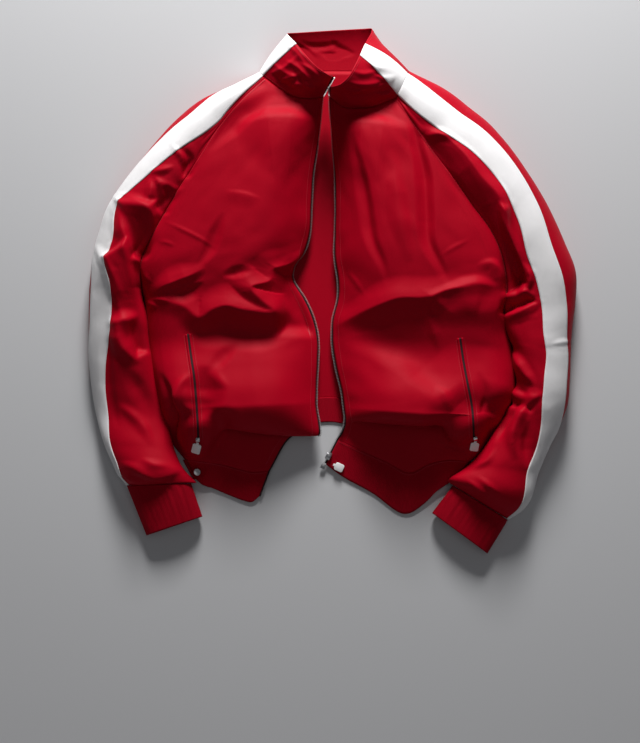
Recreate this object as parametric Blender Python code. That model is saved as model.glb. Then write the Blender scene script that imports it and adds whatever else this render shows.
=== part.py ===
"""Windproof jacket with raglan sleeves, laid open on its back on a floor.

The body and sleeves are thin cloth walls that still stand puffed up as they were laid down. Lengths are
in millimetres here and in metres in the mesh. X runs across, Y towards the collar, Z up from the floor.

Places in the tables are squares of a plan grid, u to the right and v down, as they look from an eye
straight above the middle of the grid; a point's height then says where it really is."""

import math

import bpy
import numpy as np
from mathutils import Vector
from mathutils.bvhtree import BVHTree

for old in list(bpy.data.objects):
    bpy.data.objects.remove(old, do_unlink=True)

GRID = 1.45  # mm, side of a square of the plan grid
EYE_U, EYE_V, EYE_Z = 320.0, 371.5, 1600.0  # grid square below the eye, and its height in mm
MID_U, MID_V = 332.2, 291.7  # grid square of the origin
CLOTH = 1.2  # mm, wall of the wind cloth
EDGE = 1.0  # mm, height of the outer face over the inner one where a side edge lies flat
RIB = 2.0  # mm, wall of the elastic rib of cuffs and hem
SEAM_GAP = 0.3  # mm, between two pieces at a seam
SEAM_Z = 1.8  # mm, height at which a side seam stands over the panel below it
TAPE_LIFT, TAPE = 0.3, 0.8  # mm, white tape over the cloth, and its thickness
TAPE_WIDTH = 40.0  # mm

# Fronts and sleeves down to the underarm, a row for each station along the raglan seam.
# zip edge u, v, z | crown of the front | seam of front and sleeve u, v, z | outer edge of the sleeve u, v |
# crown of the sleeve | seam of sleeve and back u, v | inner edge of the white band, share of the way out
RAGLAN_LEFT = (
    (330.0, 97, 26, 40, 396, 98, 42, 409, 71, 48, 401.0, 71.5, 0.12),
    (331.0, 118, 24, 48, 411, 119, 50, 437, 84.5, 58, 422, 98, 0.20),
    (333.0, 146, 20, 54, 432, 149, 54, 466, 105, 62, 443, 130, 0.36),
    (335.5, 178, 18, 58, 455, 180, 54, 495, 130, 64, 465, 163, 0.50),
    (336.0, 205, 17, 59, 473, 206, 52, 520, 161, 65, 483, 193, 0.54),
    (335.5, 232, 16, 60, 492, 232, 50, 544, 199, 64, 499, 222, 0.47),
    (335.5, 258, 16, 59, 504, 262, 46, 565, 243, 62, 508, 255, 0.38),
    (339.0, 282, 16, 55, 507, 290, 38, 576, 275, 58, 511, 288, 0.43),
    (338.5, 300, 15, 50, 504, 312, 26, 575, 305, 56, 511, 315, 0.53),
    (333.5, 320, 13, 44, 508, 330, 12, 572, 332, 56, 513, 333, 0.55),
    (333.0, 340, 13, 41, 514, 350, SEAM_Z, 570.5, 355, 55, 514, 350, 0.57),
)
RAGLAN_RIGHT = (
    (322.4, 97, 26, 40, 265, 78, 38, 259.5, 72.5, 38, 272.0, 71.5, 0.10),
    (320.5, 118, 24, 47, 247, 94, 47, 235, 84.5, 49, 251, 91, 0.08),
    (317.0, 146, 20, 53, 219, 126, 53, 197, 103, 57, 222, 123, 0.12),
    (312.5, 178, 18, 57, 195, 163, 54, 163, 134, 60, 198, 158, 0.48),
    (311.0, 205, 17, 58, 177, 191, 52, 134, 169, 61, 180, 188, 0.70),
    (309.5, 232, 16, 58, 162, 217, 49, 111, 202, 60, 166, 215, 0.84),
    (303.0, 254, 16, 57, 149, 242, 44, 99.5, 231, 58, 155, 242, 0.72),
    (294.0, 268, 15, 54, 140, 266, 36, 92.5, 259, 56, 148, 266, 0.68),
    (293.0, 281, 14, 50, 141, 284, 24, 90, 280, 54, 145, 284, 0.58),
    (303.0, 298, 13, 46, 143, 300, SEAM_Z, 89, 298, 52, 143, 300, 0.57),
)

# Sides below the underarm: zip edge u, v, z | crown of the front | side edge u, v, z
SIDE_LEFT = (
    (336.5, 366, 15, 49, 517, 374, SEAM_Z),
    (342.0, 390, 18, 60, 514.5, 397, SEAM_Z),
    (344.5, 408, 20, 63, 504, 419, SEAM_Z),
)
SIDE_RIGHT = (
    (312.0, 318, 13, 42, 144.5, 322, SEAM_Z),
    (317.0, 340, 13, 39, 147, 345, SEAM_Z),
    (317.0, 362, 15, 47, 150, 368, SEAM_Z),
    (316.0, 385, 17, 57, 155.5, 390, SEAM_Z),
    (315.5, 403, 22, 61, 160, 410, SEAM_Z),
)

# The fronts blouse over the hem band. Each row is a line across the front, given at shares of the way from
# the zip to the side: share, then u, v, z of the overhang's edge, of its underside, of the cloth coming
# out again, of the seam with the hem band, and of the band's lower edge.
BLOUSE_LEFT = (
    (0.00, 346, 421, 19, 345.5, 427, 16, 342.5, 434, 11, 338.3, 440, 7.5, 326, 464.5, 5),
    (0.10, 360, 421.5, 27, 359, 420, 16, 356, 434, 10, 352, 446.5, 8.5, 340, 475, 3),
    (0.30, 391, 424.5, 33, 389, 417, 15, 386, 438, 10, 386, 461.5, 9.5, 372, 493, 2.4),
    (0.50, 420, 426, 34, 417, 418, 15, 413, 445, 11, 411, 472.5, 10.5, 405, 514, 2.4),
    (0.65, 441, 428.5, 33, 436, 423, 15, 431, 440, 12, 430, 463.5, 10.5, 425, 503, 4),
    (0.75, 454, 440, 31, 450, 442, 16, 449, 450, 13, 446, 460, 11, 436, 492, 6),
    (0.85, 473, 440, 21, 471, 449, 13, 467, 455, 10, 460, 460, 9.5, 446, 485, 7),
    (1.00, 494, 436, 2.8, 486, 446, 3.4, 478, 455, 4.8, 470, 462, 6.3, 455, 480, 6.3),
)
BLOUSE_RIGHT = (
    (0.00, 316.5, 436, 21, 306, 430, 12, 288, 438, 8, 268.5, 470.5, 5.5, 258.5, 497, 4),
    (0.12, 299, 436, 22, 291, 424, 12.5, 277, 439, 8.5, 262, 471.5, 6.5, 252, 502, 3),
    (0.25, 281, 435, 24, 273, 421, 13, 265, 441, 9.5, 252, 472, 7.5, 243, 500.5, 2.6),
    (0.40, 258, 433, 26, 252, 420, 13, 249, 443, 10, 239, 469, 8.5, 231, 496, 2.4),
    (0.55, 234, 430, 31, 233, 423, 15, 232, 447, 11, 226, 465.5, 9.5, 219, 491, 2.6),
    (0.63, 221, 427, 33, 221, 431, 19, 221, 447, 13, 217.5, 463.5, 10, 212, 488, 3),
    (0.72, 207, 436, 32, 207.5, 446, 20, 207, 453, 14, 207, 461.5, 10, 208, 487, 4),
    (0.85, 188, 439, 22, 190, 448, 14, 192, 454, 11, 195.5, 460, 9, 202, 484.5, 6),
    (1.00, 167.5, 434, 2.8, 173, 444, 3.4, 179, 452, 4.8, 185, 459.5, 6.3, 195.5, 479, 6.3),
)
# Back hem, riding up in the middle: share of the way across, seam u, v, lower edge of the band u, v
BACK_HEM = (
    (0.00, 185, 459.5, 195.5, 479),
    (0.08, 206, 451, 216, 473),
    (0.20, 240, 431, 246, 455),
    (0.35, 284, 409, 287, 434),
    (0.50, 326, 397, 326, 422),
    (0.65, 371, 406, 367, 431),
    (0.80, 418, 428, 411, 452),
    (0.92, 450, 450, 440, 470),
    (1.00, 470, 462, 455, 480),
)

# Arms from the underarm to the cuff: inner edge u, v | outer edge u, v | crown | white band as above
ARM_LEFT = (
    (519, 375, 570, 381, 54, 0.49),
    (516.5, 398, 567.5, 404, 52, 0.50),
    (506, 420, 558.5, 428, 54, 0.66),
    (492, 444, 549, 447, 55, 0.78),
    (476.5, 464, 539, 471, 52, 0.82),
    (455.5, 481.5, 521.5, 510.5, 42, 0.94),
    (452.8, 485, 508.2, 519.4, 28, 0.97),
)
ARM_RIGHT = (
    (143, 330, 88.7, 328, 51, 0.61),
    (147, 360, 89.3, 357, 51, 0.72),
    (153.5, 390, 92, 386, 50, 0.79),
    (161, 420, 97, 416, 50, 0.82),
    (168, 447, 104.5, 443, 50, 0.90),
    (176, 466, 114, 465, 48, 0.93),
    (190.7, 482.9, 126.3, 485, 32, 0.96),
)
# Cuffs: inner end, outer end and crown of the ring at the seam, then of the ring at the hand
CUFF_LEFT = ((452.5, 485.6, 507.6, 520, 28), (432, 513, 487.5, 553.5, 24))
CUFF_RIGHT = ((191.1, 483.5, 126.8, 485.6, 31), (202.5, 516.5, 146.5, 535.5, 24))

# Top edge of the collar. Place along the neck seam: 0 to 1 left front, 1 to 2 left sleeve, 2 to 3 back,
# 3 to 4 right sleeve, 4 to 5 right front; then u, v, z of the top edge, and how far the collar bows out.
COLLAR = (
    (0.00, 331, 87.5, 84, 0),
    (0.25, 341, 84, 87, 3),
    (0.50, 349, 76, 87, 5),
    (0.75, 354, 67, 83, 6),
    (1.00, 359, 57, 73, 6),
    (1.30, 362.5, 49, 62, 5),
    (1.60, 367, 40, 46, 4),
    (1.85, 371.5, 32, 26, 1),
    (2.00, 371.5, 28.5, 12, 0),
    (2.15, 362, 28.8, 9, 0),
    (2.35, 347, 29.6, 9, 0),
    (2.50, 331, 30.5, 9, 0),
    (2.65, 315, 31.5, 9, 0),
    (2.85, 298, 32.6, 9, 0),
    (3.00, 289.5, 33, 12, 0),
    (3.20, 287.5, 33.5, 26, 1),
    (3.50, 289, 36, 42, 3),
    (3.75, 293, 40, 53, 2),
    (4.00, 298, 45.5, 60, 2),
    (4.30, 306, 55, 67, 4),
    (4.60, 315, 65, 73, 5),
    (4.80, 323, 71.5, 76, 3),
    (5.00, 332, 77, 78, 0),
)

# Folds: height in mm (below 0 for a valley), reach to the left and right of the line in squares when
# looking along it, then the line's points. The last word says which piece shows it.
FOLDS = (
    # right front: the chest breaks over the waist, which dips under it and rises again to the blouse
    (9, 26, 13, ((150, 292), (163, 286), (178, 280), (194, 275), (212, 270)), "front"),
    (-9, 16, 20, ((172, 312), (196, 328), (224, 324), (250, 328), (278, 320), (304, 324)), "front"),
    (9, 18, 13, ((172, 302), (200, 314), (228, 304), (250, 304), (270, 294)), "front"),
    (6, 14, 16, ((262, 246), (274, 268), (286, 290), (298, 306)), "front"),
    (-7, 12, 11, ((170, 382), (170, 410), (174, 438)), "front"),
    # left front: soft upright valleys on the chest, a ridge slanting over the waist
    (-8, 15, 16, ((416, 118), (423, 160), (425, 205), (427, 240), (436, 268)), "front"),
    (-6, 13, 13, ((362, 140), (366, 190), (371, 235), (378, 262)), "front"),
    (10, 14, 15, ((342, 324), (366, 311), (392, 298), (424, 300), (450, 290)), "front"),
    (-8, 16, 18, ((352, 334), (376, 326), (402, 332), (440, 326), (474, 320)), "front"),
    (7, 16, 10, ((494, 240), (500, 264), (500, 290)), "front"),
    # right sleeve: folds of the bent arm, slanting from the outside down to the inside
    (9, 18, 14, ((122, 200), (140, 206), (150, 236)), "sleeve"),
    (9, 13, 15, ((104, 256), (114, 274), (122, 292), (134, 316)), "sleeve"),
    (7, 13, 14, ((112, 322), (122, 340), (138, 360)), "sleeve"),
    (5, 13, 13, ((116, 372), (124, 400), (132, 430), (140, 452)), "sleeve"),
    # left sleeve: a crest down to the elbow, the elbow's pit and the folds below it
    (8, 18, 16, ((430, 130), (458, 146), (484, 174), (502, 200), (512, 234), (520, 258)), "sleeve"),
    (-12, 12, 13, ((514, 272), (517, 300)), "sleeve"),
    (8, 12, 12, ((508, 318), (524, 306), (536, 308)), "sleeve"),
    (8, 12, 12, ((520, 352), (532, 376), (532, 398), (520, 430), (516, 462)), "sleeve"),
)

# Pocket zips: the line of each down its front, from the top to the slider's end
POCKET_LEFT = ((460, 338), (463.5, 362), (468, 386), (472, 408), (474, 439))
POCKET_RIGHT = ((188, 334), (191, 356), (194, 376), (196.5, 404), (198.6, 441))
POCKET_WIDTH, POCKET_STRIP, POCKET_LIFT = 7.0, 1.2, 0.5  # mm

ZIP_WIDE, ZIP_THICK, ZIP_GAP = 3.2, 2.0, 0.9  # mm, coil and tape edge of each half of the front zip
TAB_THICK = 1.4  # mm, white pull tabs
SNAP_D, SNAP_H = 11.0, 2.0  # mm, hem snap

# Where the samples stand: across a front from zip to side, and along it
ACROSS = np.array(
    (0, 0.04, 0.1, 0.17, 0.24, 0.31, 0.38, 0.45, 0.52, 0.59, 0.66, 0.73, 0.79, 0.84, 0.89, 0.93, 0.965, 1)
)
RAGLAN_ROWS, SIDE_ROWS, CURL_ROWS, ARM_ROWS = 20, 9, 9, 19
BACK_CELLS = 8
SLEEVE_IN, SLEEVE_BAND, SLEEVE_OUT = 6, 2, 10  # cells before, under and after the white band
COLLAR_ROWS = 5


# ---------------------------------------------------------------- tools


def at(u, v, z):
    """The point of height z that is seen on square u, v of the plan grid."""
    near = 1 - z / EYE_Z
    x = (u - EYE_U) * GRID * near + (EYE_U - MID_U) * GRID
    y = (EYE_V - v) * GRID * near + (MID_V - EYE_V) * GRID
    return np.stack(np.broadcast_arrays(x, y, z), axis=-1)


def spline(knots, rows, places):
    """A smooth curve through rows, which stand at knots, read at places."""
    x, y, q = np.asarray(knots, float), np.asarray(rows, float), np.asarray(places, float)
    step = x[1:] - x[:-1]
    shape = (-1,) + (1,) * (y.ndim - 1)
    slope = (y[1:] - y[:-1]) / step.reshape(shape)
    lead = (step[1:] / (step[1:] + step[:-1])).reshape(shape)
    tangent = np.concatenate([slope[:1], lead * slope[:-1] + (1 - lead) * slope[1:], slope[-1:]])
    i = np.clip(np.searchsorted(x, q, side="right") - 1, 0, len(x) - 2)
    f = ((q - x[i]) / step[i]).reshape(shape)
    h = step[i].reshape(shape)
    return (
        (2 * f**3 - 3 * f**2 + 1) * y[i]
        + (f**3 - 2 * f**2 + f) * h * tangent[i]
        + (3 * f**2 - 2 * f**3) * y[i + 1]
        + (f**3 - f**2) * h * tangent[i + 1]
    )


def along(points):
    """Distance travelled at each point of a line."""
    points = np.asarray(points, float)
    return np.concatenate([[0], np.cumsum(np.linalg.norm(np.diff(points, axis=0), axis=1))])


def ease(x):
    x = np.clip(x, 0, 1)
    return x * x * (3 - 2 * x)


def fold_height(u, v, piece):
    """What the folds of a piece add to its height at squares u, v."""
    total = np.zeros(np.broadcast(u, v).shape)
    for height, left, right, line, shown in FOLDS:
        if shown != piece:
            continue
        nodes = np.array(line, float)
        nodes = spline(along(nodes), nodes, np.linspace(0, along(nodes)[-1], 25))
        run = along(nodes)
        best = np.full(total.shape, 1e9)
        side = np.zeros(total.shape)
        place = np.zeros(total.shape)
        for k in range(len(nodes) - 1):
            a, b = nodes[k], nodes[k + 1]
            d = b - a
            t = np.clip(((u - a[0]) * d[0] + (v - a[1]) * d[1]) / (d @ d), 0, 1)
            pu, pv = u - a[0] - t * d[0], v - a[1] - t * d[1]
            gap = np.hypot(pu, pv)
            nearer = gap < best
            best = np.where(nearer, gap, best)
            side = np.where(nearer, d[0] * pv - d[1] * pu, side)
            place = np.where(nearer, (run[k] + t * (run[k + 1] - run[k])) / run[-1], place)
        reach = np.where(side > 0, right, left)  # v runs down, so a positive side is the right
        fade = ease(place / 0.18) * ease((1 - place) / 0.18) * 0.85 + 0.15
        total = total + height * fade * (1 - ease(best / reach))
    return total


def normals_of(grid, closed=False):
    """Unit normals of a grid of points, by central differences."""
    if closed:
        across = np.roll(grid, -1, axis=1) - np.roll(grid, 1, axis=1)
    else:
        across = np.gradient(grid, axis=1)
    down = np.gradient(grid, axis=0)
    n = np.cross(across, down)
    return n / np.maximum(np.linalg.norm(n, axis=2, keepdims=True), 1e-9)


def new_object(name, points, faces, colour, rough=0.7, metal=0.0):
    """A closed mesh with its own material. Faces are turned so that they point outwards."""
    volume = 0.0
    for face in faces:
        p = [points[k] for k in face]
        for k in range(1, len(face) - 1):
            volume += np.dot(p[0], np.cross(p[k], p[k + 1]))
    if volume < 0:
        faces = [face[::-1] for face in faces]
    mesh = bpy.data.meshes.new(name)
    mesh.from_pydata([tuple(p / 1000) for p in points], [], [tuple(f) for f in faces])
    mesh.update()
    obj = bpy.data.objects.new(name, mesh)
    bpy.context.collection.objects.link(obj)
    material = bpy.data.materials.new(name)
    material.use_nodes = True
    shader = material.node_tree.nodes["Principled BSDF"]
    shader.inputs["Base Color"].default_value = (*colour, 1)
    shader.inputs["Roughness"].default_value = rough
    shader.inputs["Metallic"].default_value = metal
    mesh.materials.append(material)
    return obj


def wall(name, outer, inner, colour, closed=False, **look):
    """A closed solid between two grids of points, the outer and the inner face of a cloth."""
    rows, cols = outer.shape[:2]
    points = np.concatenate([outer.reshape(-1, 3), inner.reshape(-1, 3)])
    n = rows * cols
    faces = []
    wide = cols if closed else cols - 1
    for r in range(rows - 1):
        for c in range(wide):
            d = (c + 1) % cols
            a, b, e, f = r * cols + c, r * cols + d, (r + 1) * cols + d, (r + 1) * cols + c
            # both faces, and a tape laid over them, split each square along the same diagonal
            faces += [(a, b, e), (a, e, f), (n + e, n + b, n + a), (n + f, n + e, n + a)]
    for c in range(wide):
        d = (c + 1) % cols
        faces.append((c, n + c, n + d, d))
        last = (rows - 1) * cols
        faces.append((last + d, n + last + d, n + last + c, last + c))
    if not closed:
        for r in range(rows - 1):
            a, b = r * cols, (r + 1) * cols
            faces.append((b, n + b, n + a, a))
            a, b = a + cols - 1, b + cols - 1
            faces.append((a, n + a, n + b, b))
    return new_object(name, points, faces, colour, **look)


def calmed(normals):
    """Normals that turn less sharply from point to point, so that the inner face doesn't cross itself.
    The borders keep theirs."""
    n = normals.copy()
    for _ in range(2):
        mean = n[:-2, 1:-1] + n[2:, 1:-1] + n[1:-1, :-2] + n[1:-1, 2:] + 2 * n[1:-1, 1:-1]
        n[1:-1, 1:-1] = mean / np.linalg.norm(mean, axis=2, keepdims=True)
    return n


def cloth(name, grid, thick, colour, inside, closed=False, floor=0.0, normals=None):
    """A wall whose outer face is the grid. inside is +1 or -1, the side of the normals that it thickens to.
    The inner face stays above floor, one height or one for each column."""
    normals = normals_of(grid, closed) if normals is None else calmed(normals)
    inner = grid + inside * thick * normals
    inner[..., 2] = np.maximum(inner[..., 2], floor)
    return wall(name, grid, inner, colour, closed)


# ---------------------------------------------------------------- panels


def stations(raglan, side):
    """The shared stations: a dense row for each of raglan and side, with the columns of the tables."""
    raglan = np.array(raglan, float)
    knots = along(raglan[:, 4:6])
    closer = 1 - (1 - np.linspace(0, 1, RAGLAN_ROWS + 1)) ** 1.3  # rows stand closer towards the waist
    upper = spline(knots, raglan, closer * knots[-1])
    upper[:, 6] = np.maximum(upper[:, 6], SEAM_Z + EDGE)
    upper[-1, 6] = SEAM_Z + EDGE
    start = raglan[-2:, (0, 1, 2, 3, 4, 5, 6)]
    lower = np.concatenate([start, np.array(side, float)])
    knots = along(lower[:, 4:6])
    lower = spline(knots, lower, np.linspace(knots[1], knots[-1], SIDE_ROWS + 1))
    lower[:, 6] = SEAM_Z + EDGE
    return upper, lower


def front_grid(upper, lower, blouse, neck):
    """Points of a front, rows from the neck to the hem band, columns from the zip to the side."""
    body = np.concatenate([upper[:, :7], lower[1:]])
    zu, zv, zz, crown, eu, ev, ez = body.T[:, :, None]
    s = ACROSS[None, :]
    u, v = zu + (eu - zu) * s, zv + (ev - zv) * s
    neck_v = spline(neck[0], neck[1], ACROSS) - (v[0])
    fade = np.linspace(1, -1.2, len(body)).clip(0)[:, None] ** 1.5
    v = v + neck_v[None, :] * fade
    rise = 1 - (1 - np.clip(s / 0.4, 0, 1)) ** 2
    top = zz + (crown - zz) * rise
    width = np.hypot(eu - zu, ev - zv) * (1 - s) * GRID
    roll_width = np.where(ez > 30, 60, 48)
    roll = (1 - (1 - np.clip(width / roll_width, 0, 1)) ** 2.2) ** (1 / 2.2)
    # a waist that dips below the seam keeps the seam's height at the edge
    z = ez + (top - ez) * roll
    weight = ease(s / 0.06) * ease((1 - s) / 0.05)
    z = np.maximum(z + weight * fold_height(u, v, "front"), SEAM_Z + (1 - s) * 8)
    rows = at(u, v, z)
    table = np.array(blouse, float)
    curl = []
    for k in range(4):
        line = spline(table[:, 0], table[:, 1 + 3 * k : 4 + 3 * k], ACROSS)
        curl.append(at(line[:, 0], line[:, 1], line[:, 2]))
    key = np.stack([rows[-2], rows[-1], *curl])
    knots = np.array([along(key[:, c])[:] for c in range(key.shape[1])]).mean(axis=0)
    places = knots[1] + (knots[-1] - knots[1]) * np.linspace(0, 1, CURL_ROWS + 1)[1:]
    under = spline(knots, key, places)
    return np.concatenate([rows, under])


def section(fu, fv, fz, ou, ov, crown, bu, bv, tube):
    """One ring of a sleeve as a dense line of u, v, z: from the front edge over the top, round the outer
    edge and back along the floor. tube is 0 in the raglan part and 1 where the ring closes."""
    side = 0.36 * crown
    line = []
    lobe = 0.07
    if fz < side:
        for a in np.linspace(math.acos(min(1, max(0, (side - fz) / side))) - math.pi / 2, 0, 6)[:-1]:
            line.append((lobe * (1 - math.cos(a)), side + side * math.sin(a)))
        base = side
    else:
        base = fz
    power = 1 + tube
    for x in np.linspace(0, 1, 22) ** 1.5:
        line.append((0.45 * x, base + (crown - base) * (1 - (1 - x) ** 2.1) ** (1 / power)))
    for a in np.linspace(0, math.pi / 2, 20)[1:]:
        q = 0.45 + 0.55 * math.sin(a) ** 1.0
        line.append((q, side + (crown - side) * math.cos(a) ** 0.9))
    for a in np.linspace(0, math.pi / 2, 8)[1:]:
        line.append((1 - 0.09 * (1 - math.cos(a)), side * (1 - math.sin(a))))
    line = np.array(line)
    plan = np.stack([fu + (ou - fu) * line[:, 0], fv + (ov - fv) * line[:, 0], line[:, 1]], axis=1)
    end = plan[-1]
    t = np.linspace(0, 1, 12)[1:, None]
    floor = end + (np.array([bu, bv, 0.0]) - end) * t
    return np.concatenate([plan, floor])


def sleeve_grid(upper, arm, piece):
    """Points of a sleeve, rows from the neck to the cuff, columns from the front edge round to the back."""
    rag = [(r[4], r[5], r[6], r[7], r[8], r[9], r[10], r[11], r[12]) for r in upper]
    last = rag[-1]
    table = [rag[-2], last] + [(a, b, SEAM_Z, c, d, e, a, b, q) for a, b, c, d, e, q in arm]
    table = np.array(table, float)
    knots = along((table[:, :2] + table[:, 3:5]) / 2)
    lower = spline(knots, table, np.linspace(knots[1], knots[-1], ARM_ROWS + 1))
    lower[:, 2] = SEAM_Z + EDGE
    rows = np.concatenate([np.array(rag), lower[1:]])
    count = SLEEVE_IN + SLEEVE_BAND + SLEEVE_OUT + 1
    grid = np.empty((len(rows), count, 3))
    for i, (fu, fv, fz, ou, ov, crown, bu, bv, q) in enumerate(rows):
        tube = ease((i - 0.45 * RAGLAN_ROWS) / (0.5 * RAGLAN_ROWS))
        crown = max(crown, fz + 0.5)
        line = section(fu, fv, fz, ou, ov, crown, bu, bv, tube)
        pts = at(line[:, 0], line[:, 1], line[:, 2])
        run = along(pts)
        out = (line[:, 0] - fu) * (ou - fu) + (line[:, 1] - fv) * (ov - fv)
        out = out / ((ou - fu) ** 2 + (ov - fv) ** 2)
        first = int(np.argmax(out >= q))
        band = max(run[first], 4.0)
        stop = min(band + TAPE_WIDTH, run[-1] - 8)
        places = np.concatenate(
            [
                np.linspace(0, band, SLEEVE_IN + 1),
                np.linspace(band, stop, SLEEVE_BAND + 1)[1:],
                np.linspace(stop, run[-1], SLEEVE_OUT + 1)[1:],
            ]
        )
        for k in range(3):
            grid[i, :, k] = np.interp(places, run, line[:, k])
    u, v, z = grid[..., 0], grid[..., 1], grid[..., 2]
    crown = rows[:, 5][:, None]
    top = ease((z / crown - 0.45) / 0.4)
    edge = np.arange(count)[None, :] * np.ones((len(rows), 1))
    top = top * ease(edge / 2.0)
    z = np.where(z > 0.5, z + top * fold_height(u, v, piece), z)
    return at(u, v, z)


def ring(iu, iv, ou, ov, crown, count):
    """A closed flattened ring of a cuff, count points as u, v, z."""
    line = []
    side = 0.42 * crown
    for a in np.linspace(0, math.pi, 60):
        line.append(((1 - math.cos(a)) / 2, side + (crown - side) * math.sin(a) ** 0.75))
    for a in np.linspace(0, math.pi / 2, 10)[1:]:
        line.append((1 - 0.12 * (1 - math.cos(a)), side * (1 - math.sin(a))))
    for a in np.linspace(math.pi / 2, 0, 10)[:-1]:
        line.append((0.12 * (1 - math.cos(a)), side * (1 - math.sin(a))))
    line = np.array(line)
    line = np.concatenate([line, [(0, side)]])
    wide = np.hypot(ou - iu, ov - iv)
    run = along(line * (wide, 1 / GRID))
    places = np.linspace(0, run[-1], count + 1)[:-1]
    q, z = np.interp(places, run, line[:, 0]), np.interp(places, run, line[:, 1])
    return np.stack([iu + (ou - iu) * q, iv + (ov - iv) * q, z], axis=1)


RED = (0.36, 0.0, 0.012)
RED_RIB = (0.26, 0.0, 0.01)
WHITE = (0.85, 0.83, 0.83)
DARK = (0.02, 0.004, 0.006)
SILVER = (0.62, 0.62, 0.63)

upper_l, lower_l = stations(RAGLAN_LEFT, SIDE_LEFT)
upper_r, lower_r = stations(RAGLAN_RIGHT, SIDE_RIGHT)
NECK_LEFT = ((0, 0.2, 0.45, 0.65, 0.85, 1), (97, 106.5, 108, 107, 102, 98))
NECK_RIGHT = ((0, 0.3, 0.55, 0.8, 1), (97, 98.5, 95, 86.5, 78))
front_l = front_grid(upper_l, lower_l, BLOUSE_LEFT, NECK_LEFT)
front_r = front_grid(upper_r, lower_r, BLOUSE_RIGHT, NECK_RIGHT)
sleeve_l = sleeve_grid(upper_l, ARM_LEFT, "sleeve")
sleeve_r = sleeve_grid(upper_r, ARM_RIGHT, "sleeve")


def back_grid():
    """Points of the back on the floor, rows from the neck to the hem, columns from right side to left."""
    share = np.linspace(0, 1, BACK_CELLS + 1)
    left = np.concatenate([sleeve_l[: RAGLAN_ROWS + 1, -1], front_l[RAGLAN_ROWS + 1 :, -1]])
    right = np.concatenate([sleeve_r[: RAGLAN_ROWS + 1, -1], front_r[RAGLAN_ROWS + 1 :, -1]])
    rows = len(left)
    table = np.array(BACK_HEM)
    hem = spline(table[:, 0], table[:, 1:3], share)
    hem = at(hem[:, 0], hem[:, 1], np.zeros(len(share)))
    flat = right[:, None] + (left - right)[:, None] * share[None, :, None]
    sag = hem - flat[-1]
    run = along((left + right) / 2 * (0, 1, 0))
    fade = (run / run[-1] * 1.9 - 0.9).clip(0)[:, None, None] ** 1.3
    grid = flat + sag[None] * fade
    grid[..., 2] = 0
    return grid


back = back_grid()


def hem_grid():
    """Points of the hem band: left front from the zip, round the side, back, round the side, right front."""

    def lines(blouse, panel):
        table = np.array(blouse, float)
        low = spline(table[:, 0], table[:, 13:16], ACROSS)
        return panel[-1].copy(), at(low[:, 0], low[:, 1], low[:, 2])

    top_l, low_l = lines(BLOUSE_LEFT, front_l)
    top_r, low_r = lines(BLOUSE_RIGHT, front_r)
    table = np.array(BACK_HEM)
    share = np.linspace(0, 1, BACK_CELLS + 1)
    low_b = spline(table[:, 0], table[:, 3:5], share)
    low_b = at(low_b[:, 0], low_b[:, 1], np.zeros(len(share)))
    top_b = back[-1].copy()
    stand = np.array([0, 0, 3.15])

    def turn(top, low, out):
        push = np.array([out * 3.0, -1.0, 0])
        return [top + push * 0.9 + stand * 0, low + push * 0.9 + stand * 0]

    tops, lows = list(top_l), list(low_l)
    t, b = turn(top_b[-1] + stand, low_b[-1] + stand, 1)
    tops.append(t)
    lows.append(b)
    tops += list(top_b[::-1])
    lows += list(low_b[::-1])
    t, b = turn(top_b[0] + stand, low_b[0] + stand, -1)
    tops.append(t)
    lows.append(b)
    tops += list(top_r[::-1])
    lows += list(low_r[::-1])
    tops, lows = np.array(tops), np.array(lows)
    way = lows - tops
    way = way / np.linalg.norm(way, axis=1, keepdims=True)
    tops = tops + 1.5 * SEAM_GAP * way
    share = np.linspace(0, 1, 4)[:, None, None]
    return tops[None] + (lows - tops)[None] * share


def collar_grid():
    """Points of the collar: rows from the neck seam to the top edge, columns from zip end to zip end."""
    parts = (
        front_l[0],
        sleeve_l[0],
        back[0][::-1],
        sleeve_r[0][::-1],
        front_r[0][::-1],
    )
    seam, place = [], []
    low, high = SLEEVE_IN, SLEEVE_IN + SLEEVE_BAND  # the columns of the white band go on into the collar
    last = sleeve_l.shape[1] - 1
    arm = [0, *range(low, high + 1), *range(high + 2, last, 2)]
    for k, part in enumerate(parts):
        keep = list(range(0, len(part) - 1, 2))
        if k == 1:
            keep = arm
        if k == 3:
            keep = [0] + [last - i for i in arm[:0:-1]]
        run = along(part)
        for i in keep:
            seam.append(part[i])
            place.append(k + run[i] / run[-1])
    seam.append(parts[-1][-1])
    place.append(5.0)
    seam, place = np.array(seam), np.array(place)
    table = np.array(COLLAR, float)
    top = spline(table[:, 0], table[:, 1:], place)
    bow = top[:, 3]
    top = at(top[:, 0], top[:, 1], top[:, 2])
    way = top - seam
    long = np.linalg.norm(way, axis=1, keepdims=True)
    seam = seam + (2 * SEAM_GAP + 0.5 * ease((6 - seam[:, 2:]) / 6)) * way / long
    share = np.linspace(0, 1, COLLAR_ROWS + 1)[:, None, None]
    grid = seam[None] + (top - seam)[None] * share
    flat = ease((place - 1.7) / 0.3) * ease((3.3 - place) / 0.3)
    lift = (top[:, 2] - seam[:, 2])[None] * (share[..., 0] ** 3 - share[..., 0])
    grid[..., 2] += flat[None] * lift
    tangent = np.gradient(seam + top, axis=0)
    out = np.cross(tangent, way)
    out = out / np.linalg.norm(out, axis=1, keepdims=True)
    grid += (np.sin(math.pi * share[..., 0]) * bow[None])[..., None] * out[None]
    return grid, place


hem = hem_grid()
collar, collar_place = collar_grid()

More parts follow.
